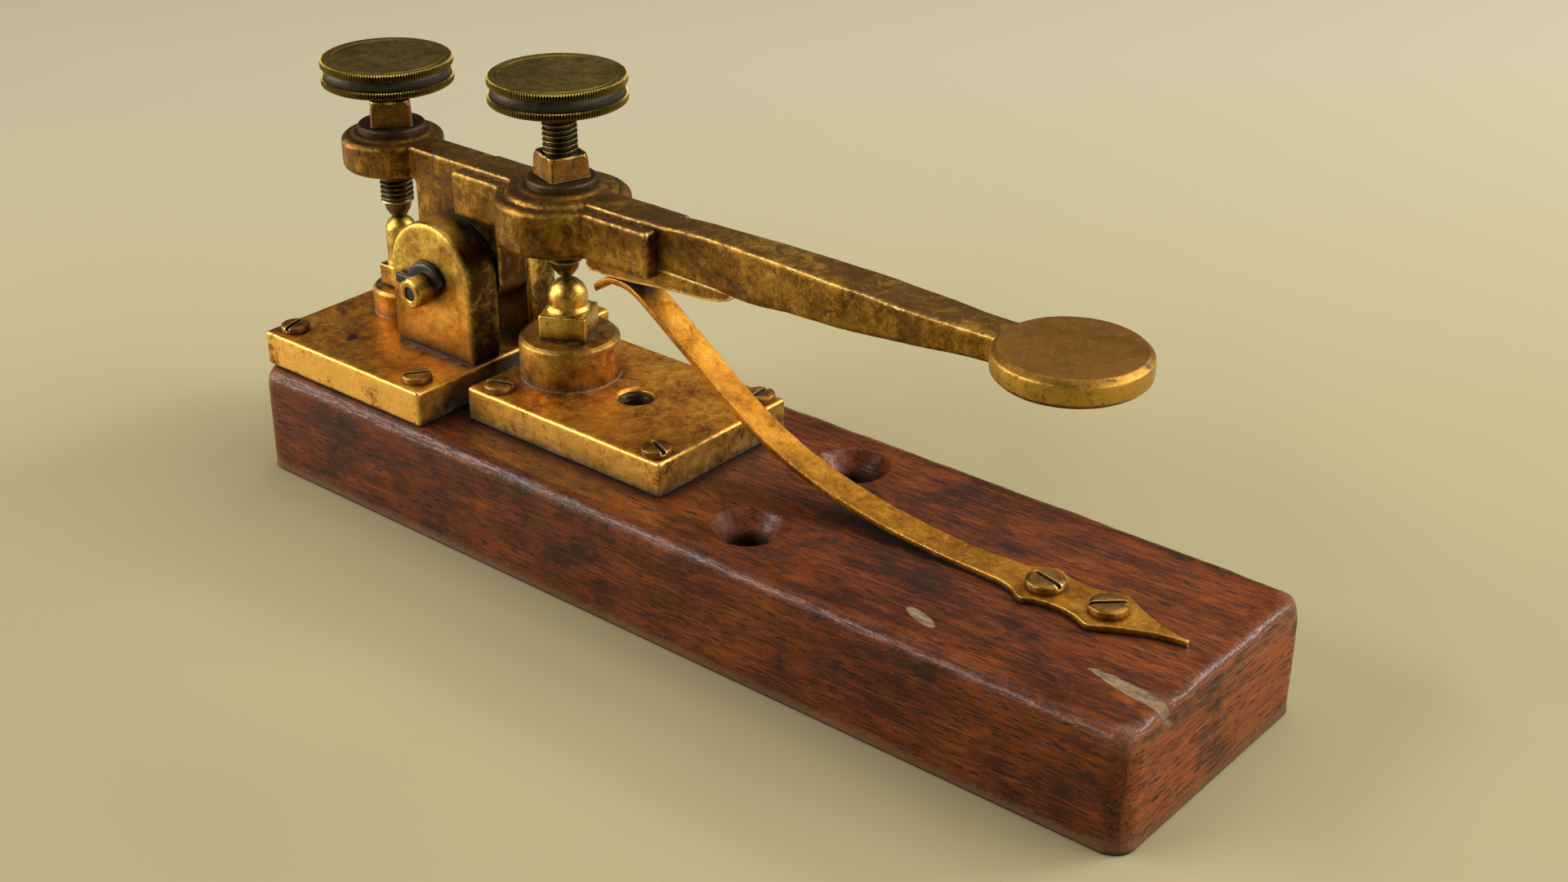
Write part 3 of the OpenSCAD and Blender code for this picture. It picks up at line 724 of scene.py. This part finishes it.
def build_base():
    """The block with its worn edges and gouge, two fixing holes and the hole for the wire."""
    ends = [half_l - r * (1 - cos(radians(a)))
            for r, step in ((CORNER_R, 6), (EDGE_R, 10), (FOOT_R, 30)) for a in range(0, 91, step)]
    xs = [-half_l + half_l * 2 * i / 200 for i in range(201)]
    xs = [x for x in xs if abs(x) < half_l - CORNER_R - 0.5]
    xs = sorted(set(round(x, 4) for x in xs + ends + [-e for e in ends]))
    ob = Solid().rows([base_section(x) for x in xs], start=True, end=True).object("base_block")

    def shift(p):
        """Waves and knocks, more along the top edges, and the gouge at the +X end; the foot stays flat."""
        x, y, z = p
        near_top = abs(base_h - z)
        near_edge = [max(0.0, 1 - (abs(size - abs(at)) + near_top) / 7) for size, at in ((half_w, y), (half_l, x))]
        wide = noise.fractal(Vector((x / 22, y / 16, z / 16)), 0.9, 2.0, 3)
        small = noise.fractal(Vector((x / 5 + 7, y / 4, z / 4)), 0.8, 2.0, 3)
        waves = 0.10 * wide - 0.10 + min(sum(near_edge), 1.0) * 0.16 * (small - 0.6)
        across = max(0.0, 1 - abs(y - GOUGE[1] + 0.10 * (x - 94)) / 1.7)
        along = max(0.0, min(1.0, (x - 87) / 12))
        gouge = across * along if z > 16 else 0.0
        return (waves if z > 1.5 else 0.0) - 0.9 * gouge ** 0.7

    end_ring = [v.index for v in ob.data.vertices if abs(v.co.x) > half_l - 1e-3]
    shifted(ob, shift)
    for i in end_ring:
        ob.data.vertices[i].co.x = copysign(half_l - 0.12, ob.data.vertices[i].co.x)
    funnel = filleted([(0, -1, 0), (3.5, -1, 0), (3.5, 18.6, 3.0), (6.7, 21.9, 1.6), (10.5, 22.6, 0), (10.5, 24, 0),
                       (0, 24, 0)], steps=6)
    holes = Solid()
    for y in (-14.6, 14.6):
        holes.lathe(funnel, (16, y, 0), 64)
    holes.lathe([(0, 14), (3.86, 14), (3.86, 24), (0, 24)], (WIRE_HOLE_X, 0, 0), 48)
    cut(ob, holes.object("holes"))
    return piece(ob, "base", ["wood_base"], wood, sharp=50, weighted=True)


build_base()


# ---------- plates and their screws ----------


def build_plate(name, node, seed, hole_r=None):
    """A plate with softened edges, and a countersunk bore where the wire goes in."""
    low, high = box_mm(node)
    ob = bevelled(Solid().box(low, high).object(name), 0.45, 3)
    fused(ob, 0.35)
    worn(ob, 0.07, 6.0, seed, 0.03, 1.4)
    if hole_r:
        r, under, deck = hole_r, low.z - 1, high.z
        bore = turning([(0, under, 0), (r, under, 0), (r, deck - 0.5, 0.3), (r + 0.7, deck + 0.2, 0),
                        (r + 0.7, deck + 2, 0), (0, deck + 2, 0)], (WIRE_HOLE_X, 0, 0))
        cut(ob, bore.object("bore"))
    return piece(ob, "base", [node], plate_brass, sharp=50)


front_deck, rear_deck = box_mm("front_plate")[1].z, box_mm("rear_plate")[1].z
build_plate("front_plate_body", "front_plate", 4.0, 3.36)
build_plate("rear_plate_body", "rear_plate", 9.0)

PITCH = 1.0


def thread_at(x, r_crest, r_root, z0, z1, inward=False):
    """Rows of a screw thread's skin from z0 to z1 about x, dying out at each end."""
    rows = []
    segments, fade = 72, 1.2 * PITCH
    count = int((z1 - z0) / PITCH * 10)
    for j in range(count + 1):
        z = z0 + (z1 - z0) * j / count
        depth = (r_crest - r_root) * max(0.0, min(1.0, (z - z0) / fade, (z1 - z) / fade))
        row = []
        for i in range(segments):
            a = FULL * i / segments
            t = (z / PITCH - (a / FULL)) % 1.0
            wave = min(1.0, max(0.0, 1.35 * (0.5 + 0.5 * cos(FULL * t)) - 0.08))
            r = r_crest - depth * (wave if inward else 1 - wave)
            row.append((x + r * cos(a), r * sin(a), z))
        rows.append(row)
    return rows


thread = Solid().rows(thread_at(WIRE_HOLE_X, 3.62, 3.02, base_h, front_deck - 0.35, inward=True))
piece(thread.object("wire_hole_thread"), "base", [], hole_brass, sharp=70)


def build_screws(name, node, spots, deck, r, h):
    """Low slotted screw heads with softly rounded rims, at (x, y, turn) spots."""
    slot, depth = 0.9, 0.8
    solid = Solid()
    for x, y, turn in spots:
        head = turning([(0, -0.3, 0), (r, -0.3, 0), (r, h - 0.55, 0), (r - 0.12, h - 0.25, 0.3),
                        (r - 0.75, h - 0.02, 0.5), (0, h, 0)], (0, 0, 0), steps=4).object("head")
        cut(head, Solid().box((-r - 1, -slot / 2, h - depth), (r + 1, slot / 2, h + 1)).object("knife"))
        bevelled(head, 0.09, 2, 40)
        head.data.transform(Matrix.Translation((x, y, deck)) @ Matrix.Rotation(radians(turn), 4, "Z"))
        solid.take(head)
    return piece(solid.object(name), "base", [node], screw_brass, sharp=40, weighted=True)


build_screws("front_plate_screw_heads", "front_plate_screws",
             [(-45, -14, 20), (-5.4, -14, -21), (-45, 14, 64), (-5.4, 14, 97)], front_deck, 2.8, 1.5)
build_screws("rear_plate_screw_heads", "rear_plate_screws",
             [(-94.4, -21.4, 104), (-59.1, -21.4, 54), (-94.4, 21.4, 12), (-59.1, 21.4, 131)], rear_deck, 2.8, 1.5)
LEAF_T = 1.25
build_screws("spring_screw_heads", "spring_screws", [(67, -0.3, -14), (78.9, -0.3, 43)], base_h + LEAF_T, 3.3, 1.6)


# ---------- pivot ----------

PIVOT_X, PIVOT_Z = -65.45, 42.85


def build_post(name, node, seed):
    """An upright plate with a round top."""
    low, high = box_mm(node)
    r = (high.x - low.x) / 2
    cx, cz = (high.x + low.x) / 2, high.z - r
    outline = [(low.x, low.z), (high.x, low.z)] + arc(cx, cz, r, 0, 180, 48)
    ob = bevelled(Solid().prism(outline, low.y, high.y, "y").object(name), 0.8, 4, 50)
    fused(ob, 0.3)
    worn(ob, 0.05, 5.0, seed, 0.02, 1.3)
    return piece(ob, "base", [node], post_brass, sharp=50)


build_post("near_post", "near_pivot_post", 2.0)
build_post("far_post", "far_pivot_post", 5.0)

AXLE_R, NECK_R, BORE_R, HEAD_R = 2.9, 2.45, 1.32, 4.2
axle_low, axle_high = box_mm("pivot_axle")
near, far = axle_low.y, axle_high.y
axle = turning([(BORE_R, near + 1.2, 0), (BORE_R, near + 0.25, 0.1), (1.55, near, 0.15), (NECK_R, near, 0.25),
                (AXLE_R, near + 0.45, 0.2), (AXLE_R, near + 3.6, 0.15), (NECK_R, near + 3.75, 0.1),
                (NECK_R, near + 5.35, 0.1), (AXLE_R, near + 5.5, 0.1), (AXLE_R, far - 2.0, 0), (HEAD_R, far - 2.0, 0),
                (HEAD_R, far - 0.5, 0.3), (3.7, far, 0.3), (1.55, far, 0.1), (BORE_R, far - 0.25, 0.1),
                (BORE_R, far - 1.2, 0)], (PIVOT_X, 0, PIVOT_Z), steps=4, axis="y")
piece(axle.object("axle"), "base", ["pivot_axle"], bright_brass, sharp=45)
core = turning([(0, near + 0.42, 0), (1.15, near + 0.42, 0.1), (1.3, near + 0.6, 0.1), (1.3, far - 0.6, 0.1),
                (1.15, far - 0.42, 0.1), (0, far - 0.42, 0)], (PIVOT_X, 0, PIVOT_Z), 48, axis="y")
piece(core.object("axle_steel_core"), "base", ["axle_core"], core_steel)


def build_clip():
    """A split ring with round-edged wire-like section and a lug."""
    low, high = box_mm("retaining_clip")
    y_mid, half_t = (low.y + high.y) / 2, (high.y - low.y) / 2
    rows = []
    start, end, inner, outer = 26.0, 236.0, 2.46, 5.0
    mid, half = (inner + outer) / 2, (outer - inner) / 2
    steps, cap, around = 60, 5, 20
    for j in range(-cap, steps + cap + 1):
        over = max(0, -j, j - steps) / cap
        size = max(sqrt(1 - over ** 2), 0.02)
        a = start + (end - start) * min(max(j / steps, 0.0), 1.0)
        a = radians(a + over * degrees(half * 0.7 / mid) * (1 if j > steps else -1))
        row = []
        for i in range(around):
            u, w = cos(FULL * i / around), sin(FULL * i / around)
            k = (abs(u) ** 4 + abs(w) ** 4) ** -0.25 * size
            r = mid + half * u * k
            row.append((PIVOT_X + r * cos(a), y_mid + half_t * w * k, PIVOT_Z + r * sin(a)))
        rows.append(row)
    lug = Solid().box((PIVOT_X - 8.1, low.y, PIVOT_Z - 0.8), (PIVOT_X - 3.4, high.y, PIVOT_Z + 1.2)).object("lug")
    ring = Solid().rows(rows, start=True, end=True).take(bevelled(lug, 0.35))
    return piece(ring.object("clip_ring"), "base", ["retaining_clip"], black_steel, sharp=50)


build_clip()


# ---------- contacts ----------


def build_contact(side, x, boss, collar, stud, dome, steps, segments):
    """A boss, a square collar as (half width, low z, high z, turn, rounding) and a stud with a dome, about x."""

    def turned_piece(name, node, solid, material, sharp):
        piece(solid.object(side + name), "base", [side + node], material, sharp=sharp)

    turned_piece("_boss", "_contact_boss", turning(boss, (x, 0, 0), segments[0]), boss_brass, 45)
    half, low, high, turn, width = collar
    block = Solid().box((x - half, -half, low), (x + half, half, high)).turned(turn, (x, 0))
    block = bevelled(block.object(side + "_collar"), width)
    piece(block, "base", [], bright_brass, sharp=45, weighted=True)
    dome_z, dome_r, dome_n = dome
    profile = filleted(stud, steps=steps) + arc(0, dome_z, dome_r, 2, 90, dome_n)
    turned_piece("_stud", "_contact_stud", Solid().lathe(profile, (x, 0, 0), segments[1]), bright_brass, 60)


build_contact(
    "front", -40.2,
    [(0, 28.5, 0), (9.5, 28.5, 0), (9.5, 36.0, 0), (9.42, 36.3, 0.5), (8.7, 36.9, 0.5), (0, 36.9, 0)],
    (4.53, 36.9, 41.7, 27.5, 0.5),
    [(0, 41.5, 0), (4.25, 41.5, 0), (4.2, 42.1, 0.5), (3.62, 42.9, 0.6), (3.78, 44.0, 1.0)],
    (44.22, 3.78, 20), 5, (96, 72))
build_contact(
    "rear", -86,
    [(0, 28.8, 0), (6.45, 28.8, 0), (6.45, 33.7, 0.4), (5.9, 34.4, 0.4), (0, 34.4, 0)],
    (3.45, 34.4, 38.8, 0, 0.45),
    [(0, 38.6, 0), (3.3, 38.6, 0), (3.2, 39.2, 0.3), (3.0, 40.0, 0.4), (3.0, 45.0, 0.4)],
    (45.85, 3.0, 16), 4, (80, 64))


# ---------- lever ----------

LEVER_Z = box_mm("front_washer")[0].z
FRONT_X, REAR_X, DISC_X = -40.4, -86.3, 68.8
bar_top = [(REAR_X, 0), (-50, 0), (-14, 0), (-8, 0.45), (8, 0.6), (30, 0.3), (40, -0.1), (52, -0.3), (DISC_X, -0.4)]
bar_under = [(REAR_X, -6.6), (-76.6, -6.6), (-75, -9), (-60, -9), (6, -9), (16, -8.1), (26, -7.6), (35, -6.8),
             (47, -5.7), (56, -5.1), (DISC_X, -4.8)]
bar_plan = [(REAR_X, 3.7), (-20, 3.7), (-14, 3.25), (-4, 3.25), (8, 3.75), (16, 4.05), (30, 4.5), (42, 4.5), (50, 4),
            (57, 3.85), (DISC_X, 3.85)]


def build_lever():
    """The bar, its two bosses and the web that hangs on the pivot, in one skin."""
    rows = []
    n, bar_end, e, f = 190, 62.0, 0.55, 0.16
    for j in range(n + 1):
        x = REAR_X + (bar_end - REAR_X) * j / n
        w = smooth_curve(bar_plan, x)
        t, b = LEVER_Z + smooth_curve(bar_top, x), LEVER_Z + smooth_curve(bar_under, x)
        half = [(w - e, b), (w - f, b + f), (w, b + e), (w, (t + b) / 2), (w, t - e), (w - f, t - f), (w - e, t)]
        other = [(-y, z) for y, z in reversed(half)]
        section = other[-1:] + [(0, b)] + half + [(0, t)] + other[:-1]
        rows.append([(x, y, z) for y, z in section])
    solid = Solid().rows(rows, start=True, end=True)
    for x, r, low in ((FRONT_X, 10.5, 56.0), (REAR_X, 9.8, LEVER_Z - 6.6)):
        solid.lathe(filleted([(0, low, 0), (r - 0.8, low, 0.4), (r, low + 0.8, 0.4), (r, LEVER_Z - 0.8, 0.4),
                              (r - 0.8, LEVER_Z, 0.4), (7.9, LEVER_Z, 0.2), (7.4, LEVER_Z + 0.55, 0.2),
                              (0, LEVER_Z + 0.55, 0)]), (x, 0, 0))
    left, right, web_z, web_r, hub_r = -76.6, -54.3, 43.6, 3.5, 6.6
    lower = arc(left + web_r, web_z, web_r, 180, 262, 8) + arc(PIVOT_X, PIVOT_Z, hub_r, 235, 305, 16)
    lower += arc(right - web_r, web_z, web_r, 278, 360, 8)
    solid.prism([(left, 60)] + lower + [(right, 60)], -3.6, 3.6, "y")
    ob = fused(solid.object("lever_bar"), 0.36)
    worn(ob, 0.035, 9.0, 3.0, 0.016, 1.3)
    return piece(ob, "lever", ["lever_arm"], lever_brass, sharp=50)


build_lever()


def bead(solid, path, r, seed, closed=False):
    """A thin uneven bead along a path, like old solder in a seam."""
    rows = []
    n = len(path)
    for i, p in enumerate(path):
        p = Vector(p)
        after = path[(i + 1) % n if closed else min(i + 1, n - 1)]
        before = path[(i - 1) % n if closed else max(i - 1, 0)]
        along = (Vector(after) - Vector(before)).normalized()
        side = along.cross(Vector((0, 0, 1))).normalized()
        up = side.cross(along)
        q = r * max(0.15, 0.75 + 1.5 * noise.noise(Vector((p.x * 1.7, p.y * 1.7, seed))))
        p += side * r * 0.8 * noise.noise(Vector((p.x * 0.8, p.y * 0.8, seed + 9)))
        rows.append([tuple(p + side * q * cos(a) + up * q * sin(a)) for a in (FULL * k / 8 for k in range(8))])
    solid.rows(rows, start=not closed, end=not closed, loop=closed)


def build_saddle():
    """The block and ring round the front boss, and the beads in their seams."""
    low, high = box_mm("lever_saddle")
    block = bevelled(Solid().box((low.x, -6.0, low.z), (high.x, 6.0, high.z)).object("saddle"), 0.6)
    solid = Solid().take(block)
    solid.lathe(filleted([(0, low.z, 0), (11.9, low.z, 0.3), (12.55, low.z + 0.6, 0.3), (12.55, high.z - 0.8, 0.4),
                          (11.75, high.z, 0.4), (0, high.z, 0)]), (FRONT_X, 0, 0))
    ob = fused(solid.object("saddle_block"), 0.34)
    worn(ob, 0.06, 5.0, 8.0, 0.03, 1.4)
    piece(ob, "lever", ["lever_saddle"], lever_brass, sharp=50)
    seams = Solid()
    ring = [(FRONT_X + x, y, high.z) for x, y in arc(0, 0, 10.55, 0, 480, 160)[:-1]]
    bead(seams, ring, 0.20, 3.0, True)
    for y in (-3.72, 3.72):
        for x0, x1, r in ((low.x + 0.3, FRONT_X - 9.9, 0.17), (FRONT_X + 9.9, -17.0, 0.27)):
            bead(seams, [(x0 + (x1 - x0) * i / 60, y, high.z) for i in range(61)], r, y)
    return piece(seams.object("saddle_seams"), "lever", [], seam_metal, sharp=70)


build_saddle()

wedge_side = [(-31.9, -8, 0), (-31.9, -12.3, 0.6), (-31.2, -12.9, 0.4), (-26, -13, 1), (-20.5, -12.6, 1),
              (-9.6, -11.5, 1), (-3, -11.1, 1), (-0.4, -10.7, 1), (1.8, -10, 1), (3.6, -8.8, 0.3), (3.0, -8.3, 0)]
wedge = Solid().prism([(x, z + LEVER_Z) for x, z in filleted(wedge_side, True, 4)], -3.3, 3.3, "y")
wedge = bevelled(wedge.object("wedge"), 0.35, 3, 50)
piece(wedge, "lever", ["spring_wedge"], lever_brass, sharp=50, weighted=True)

disc_low, disc_high = box_mm("finger_disc")
disc_r, low, high = (disc_high.x - disc_low.x) / 2, disc_low.z, disc_high.z
disc = turning([(0, low, 0), (6, low, 0), (disc_r - 1.0, low, 0.5), (disc_r - 0.05, low + 0.9, 0.8),
                (disc_r, low + 2.4, 0), (disc_r - 0.05, high - 0.9, 0.8), (disc_r - 1.0, high, 0.5),
                (6, high - 0.06, 0), (0, high - 0.1, 0)], (DISC_X, 0, 0), 128, 6)
disc = worn(disc.object("finger_disc_body"), 0.04, 6.0, 6.0)
piece(disc, "lever", ["finger_disc"], disc_brass, sharp=60)


# ---------- adjusting screws ----------


ROD_R, KNOB_R, KNOB_H, WASHER_H = 3.2, 12.55, 5.0, 2.0
TEETH = 150


def knurl(r, angle):
    """A knob's radius r with its teeth, which reach just inside the rim."""
    inside = KNOB_R - 0.45
    return r if r < inside else r - 0.42 * (0.5 + 0.5 * cos(TEETH * angle)) * min(1.0, (r - inside) / 0.4)


def build_adjuster(side, x, tip_z, end_r, knob_z, nut_h, nut_turn):
    """One adjusting screw: tip, thread, knob with its dark band, square nut and washer, all about x."""
    body = side + "_adjuster"
    centre = (x, 0, 0)
    tip_r, shoulder = 2.75, tip_z + 3.1
    tip = turning([(0, tip_z, 0), (end_r, tip_z, 0.3), (end_r + 0.75 * (tip_r - end_r), tip_z + 0.45 * 3.1, 1.5),
                   (tip_r, shoulder, 0), (0, shoulder, 0)], centre)
    piece(tip.object(side + "_tip"), side + "_point", [side + "_contact_tip"], thread_brass, sharp=50)
    rod = Solid().rows(thread_at(x, ROD_R, 2.62, shoulder, knob_z + 3.5), start=True, end=True)
    piece(rod.object(side + "_thread"), body, [side + "_screw"], thread_brass, sharp=75)
    low, top, groove = knob_z, knob_z + KNOB_H, KNOB_R - 0.85
    rim_low, rim_top = low + 1.45, top - 1.45
    profile = [(0, low, 0), (8, low, 0), (11.9, low, 0.2), (KNOB_R, low + 0.35, 0.1), (KNOB_R, rim_low - 0.2, 0.1),
               (12.3, rim_low, 0.05), (groove, rim_low + 0.05, 0.1), (groove, low + 2.5, 0),
               (groove, rim_top - 0.05, 0.1), (12.3, rim_top, 0.05), (KNOB_R, rim_top + 0.2, 0.1),
               (KNOB_R, top - 0.35, 0.1), (12.1, top - 0.02, 0.2), (11.5, top - 0.10, 0.1), (11.0, top - 0.16, 0.1),
               (10.75, top - 0.02, 0.05), (10.5, top - 0.16, 0.1), (8, top - 0.12, 0), (0, top - 0.08, 0)]
    knob = turning(profile, centre, TEETH * 4, 3, radius_at=knurl)
    piece(knob.object(side + "_knob_body"), body, [side + "_knob"], knob_brass, sharp=55)
    band = Solid().lathe([(11.75, rim_low - 0.1), (11.95, rim_low + 0.1), (12.0, low + 2.5), (11.95, rim_top - 0.1),
                          (11.75, rim_top + 0.1)], centre, 128)
    piece(band.object(side + "_knob_band"), body, [], band_steel, sharp=60)
    build_nut(side, x, nut_h, nut_turn)
    under, over = LEVER_Z + 0.2, LEVER_Z + WASHER_H
    washer = turning([(3.4, under, 0), (6.5, under, 0), (6.5, over - 0.35, 0.25), (6.2, over, 0.25), (3.6, over, 0.1),
                      (3.4, over - 0.2, 0)], centre, 72)
    piece(washer.object(side + "_washer_ring"), "lever", [side + "_washer"], washer_brass, sharp=50)


def build_nut(side, x, h, turn):
    """A square nut whose top corners are turned down in arcs."""
    low, half, r_top, r_hole, e, n = LEVER_Z + WASHER_H, 4.0, 4.75, 3.3, 0.22, 96
    top = low + h
    rows = [[] for _ in range(9)]
    for i in range(n):
        a = FULL * i / n + pi / 4
        s = min(half / max(abs(cos(a)), abs(sin(a))), half * sqrt(2) - 0.25)
        drop = max(0.0, (s - r_top) / 3.2 * h)
        z_side = top - max(drop, e)
        if drop <= e:
            rim = min(s - e, r_top)
            shoulder = (max(s - e - 0.22, rim - 0.2), top - e * 0.4)
        else:
            rim = r_top
            shoulder = (s - 0.28 - 0.3 * (s - r_top), top - drop * 0.65)
        ring = [(s - e, low), (s, low + e), (s - 0.14, (low + z_side) / 2), (s - 0.28, z_side), shoulder,
                (rim - 0.1, top), (r_hole + 0.3, top), (r_hole, top - 0.3), (r_hole, low)]
        for row, (r, z) in zip(rows, ring):
            row.append((x + r * cos(a), r * sin(a), z))
    ob = Solid().rows(rows, loop=True).turned(turn, (x, 0)).object(side + "_nut_body")
    return piece(ob, side + "_nut", [side + "_lock_nut"], nut_brass, sharp=30, weighted=True)


build_adjuster("front", FRONT_X, 48.5, 1.3, 81.8, 4.5, -18.5)
build_adjuster("rear", REAR_X, 48.9, 1.6, 75.8, 5.0, -39.5)


# ---------- leaf spring ----------

HOOK = 30.6
blade = [(-31, HOOK - 2.9), (-28.7, HOOK - 1.1), (-25.5, HOOK), (-20, 29.5), (-10, 22.7), (0, 15.7), (10, 9.8),
         (20, 5.9), (30, 3.5), (40, 2), (50, LEAF_T)]
foot_plan = [(50, 3.0), (60, 3.3), (62.7, 4.1), (65.9, 5.8), (67.6, 4.9), (69.6, 4.4), (72.4, 4.2), (75.2, 4.7),
             (78.4, 5.9), (81.2, 4.5), (84.6, 2.7), (88.6, 1.2), (93.2, 0.25)]


def build_leaf():
    """One strip: the blade's curve from its hook to the foot, then the flat pointed foot."""
    path = [(p.x, p.y) for p in spline(blade, 10)][:-1]
    path += [(50 + 43.25 * i / 86, LEAF_T) for i in range(87)]
    rows = []
    t = LEAF_T
    for i, (x, z) in enumerate(path):
        a, b = path[max(0, i - 1)], path[min(len(path) - 1, i + 1)]
        dx, dz = b[0] - a[0], b[1] - a[1]
        length = hypot(dx, dz)
        nx, nz = -dz / length, dx / length
        w = smooth_curve(foot_plan, x) if x > 50 else 3.0 if x > -30.6 else 2.7
        e = min(0.22, w * 0.5)
        section = [(-w + e, 0), (-w / 3, 0.02), (w / 3, 0.02), (w - e, 0), (w - 0.06, 0.06), (w, e), (w, t / 2),
                   (w, t - e), (w - e, t), (0, t), (-w + e, t), (-w, t - e), (-w, t / 2), (-w, e), (-w + 0.06, 0.06)]
        rows.append([(x - nx * d, y, base_h + z - nz * d) for y, d in section])
    ob = Solid().rows(rows, start=True, end=True).object("leaf_spring")
    for v in ob.data.vertices:
        p = v.co
        if p.z > base_h + 0.4 or p.x < 45:
            sway = 0.05 * noise.noise(Vector((p.x / 2.2, 0, 3)))
            v.co = p + Vector((0, sway, 0.03 * noise.noise(Vector((p.x / 3, p.y / 3, 1)))))
    return piece(ob, "base", ["spring_foot", "spring_blade"], spring_brass, sharp=50, weighted=True,
                 blend=("spring", (0.052, 0, 0.0226), (0.046, 0, 0.0228)))


build_leaf()


# ---------- floor, lights and camera ----------


def build_stage():
    """A pale floor, its colour fixed in place, with painted light: paler further along the camera's line of sight."""
    s = Shader("backdrop")
    away = s.split(s.mapped(s.mm, turn=(0, 0, -39.5)))[1]
    away = s.plus(away, s.swing(s.noise(0.004, 3, 0.5), 60))
    away = s.math("MULTIPLY_ADD", away, 0.001, 0.3)
    # Painted light: the colour turns paler and greyer further back.
    colour = s.ramp(away, (0.12, (0.355, 0.305, 0.172)), (0.36, (0.385, 0.336, 0.190)),
                    (0.62, (0.480, 0.442, 0.310)), (0.95, (0.530, 0.495, 0.365)))
    s.finish(colour, 0.56, 0.0, specular=0.16)
    places = (-6000, 0, 6000)
    floor = Solid().rows([[(x, y, 0) for x in places] for y in places], closed=False).object("floor")
    floor.data.transform(Matrix.Scale(MM, 4))
    floor.data.materials.append(s.mat)


def area_light(name, azimuth, elevation, distance, size, power, colour, target=(0, 0, 0.03), size_y=None,
               spread=180):
    """A soft rectangular lamp on a sphere round target, azimuth from +X towards +Y, beam spread degrees wide."""
    lamp = bpy.data.lights.new(name, "AREA")
    lamp.shape = "RECTANGLE"
    lamp.size, lamp.size_y = size, size_y or size
    lamp.spread = radians(spread)
    lamp.energy = power
    lamp.color = colour
    ob = bpy.data.objects.new(name, lamp)
    bpy.context.scene.collection.objects.link(ob)
    a, e = radians(azimuth), radians(elevation)
    away = Vector((cos(a) * cos(e), sin(a) * cos(e), sin(e)))
    ob.location = Vector(target) + away * distance
    ob.rotation_euler = away.to_track_quat("Z", "Y").to_euler()


def build_lights():
    """Large soft lamps, and two long ones that glint along the base's top edges."""
    world = bpy.data.worlds.new("studio")
    bpy.context.scene.world = world
    world.use_nodes = True
    back = world.node_tree.nodes["Background"]
    back.inputs["Color"].default_value = (1.0, 0.93, 0.79, 1)
    back.inputs["Strength"].default_value = 0.11
    bpy.context.scene.view_settings.view_transform = "Standard"
    area_light("window_right", 40, 37, 1.0, 0.70, 6.2, (1.0, 0.97, 0.92))
    area_light("strip_right", 58, 28, 1.07, 0.36, 4.9, (1.0, 0.98, 0.95), (0.1, 0, 0.02), 0.14)
    area_light("low_right", 2, 16, 0.8, 0.40, 0.46, (1.0, 0.95, 0.86), spread=90)
    area_light("soft_left", 214, 9, 0.40, 0.26, 0.20, (1.0, 0.93, 0.82), (-0.09, -0.02, 0.02), 0.12, 80)
    area_light("strip_left", 224, 34, 1.0, 0.90, 2.5, (1.0, 0.97, 0.93), (0, -0.02, 0.02), 0.09, 100)
    area_light("overhead", 92, 72, 1.1, 1.1, 6.6, (1.0, 0.97, 0.90))


def build_camera():
    """The photograph's camera."""
    cam = bpy.data.cameras.new("camera")
    cam.lens = 49.93
    cam.sensor_width = 36.0
    cam.clip_start = 0.01
    ob = bpy.data.objects.new("camera", cam)
    bpy.context.scene.collection.objects.link(ob)
    azimuth, pitch, roll = radians(39.533), radians(27.112), radians(0.267)
    back = Vector((sin(azimuth) * cos(pitch), -cos(azimuth) * cos(pitch), sin(pitch)))
    right = (-back).cross(Vector((0, 0, 1))).normalized()
    up = right.cross(-back)
    rolled_right = right * cos(roll) + up * sin(roll)
    rolled_up = up * cos(roll) - right * sin(roll)
    m = Matrix((rolled_right, rolled_up, back)).transposed().to_4x4()
    m.translation = Vector((0.226564, -0.260144, 0.203869))
    ob.matrix_world = m
    bpy.context.scene.camera = ob


build_stage()
build_lights()
build_camera()
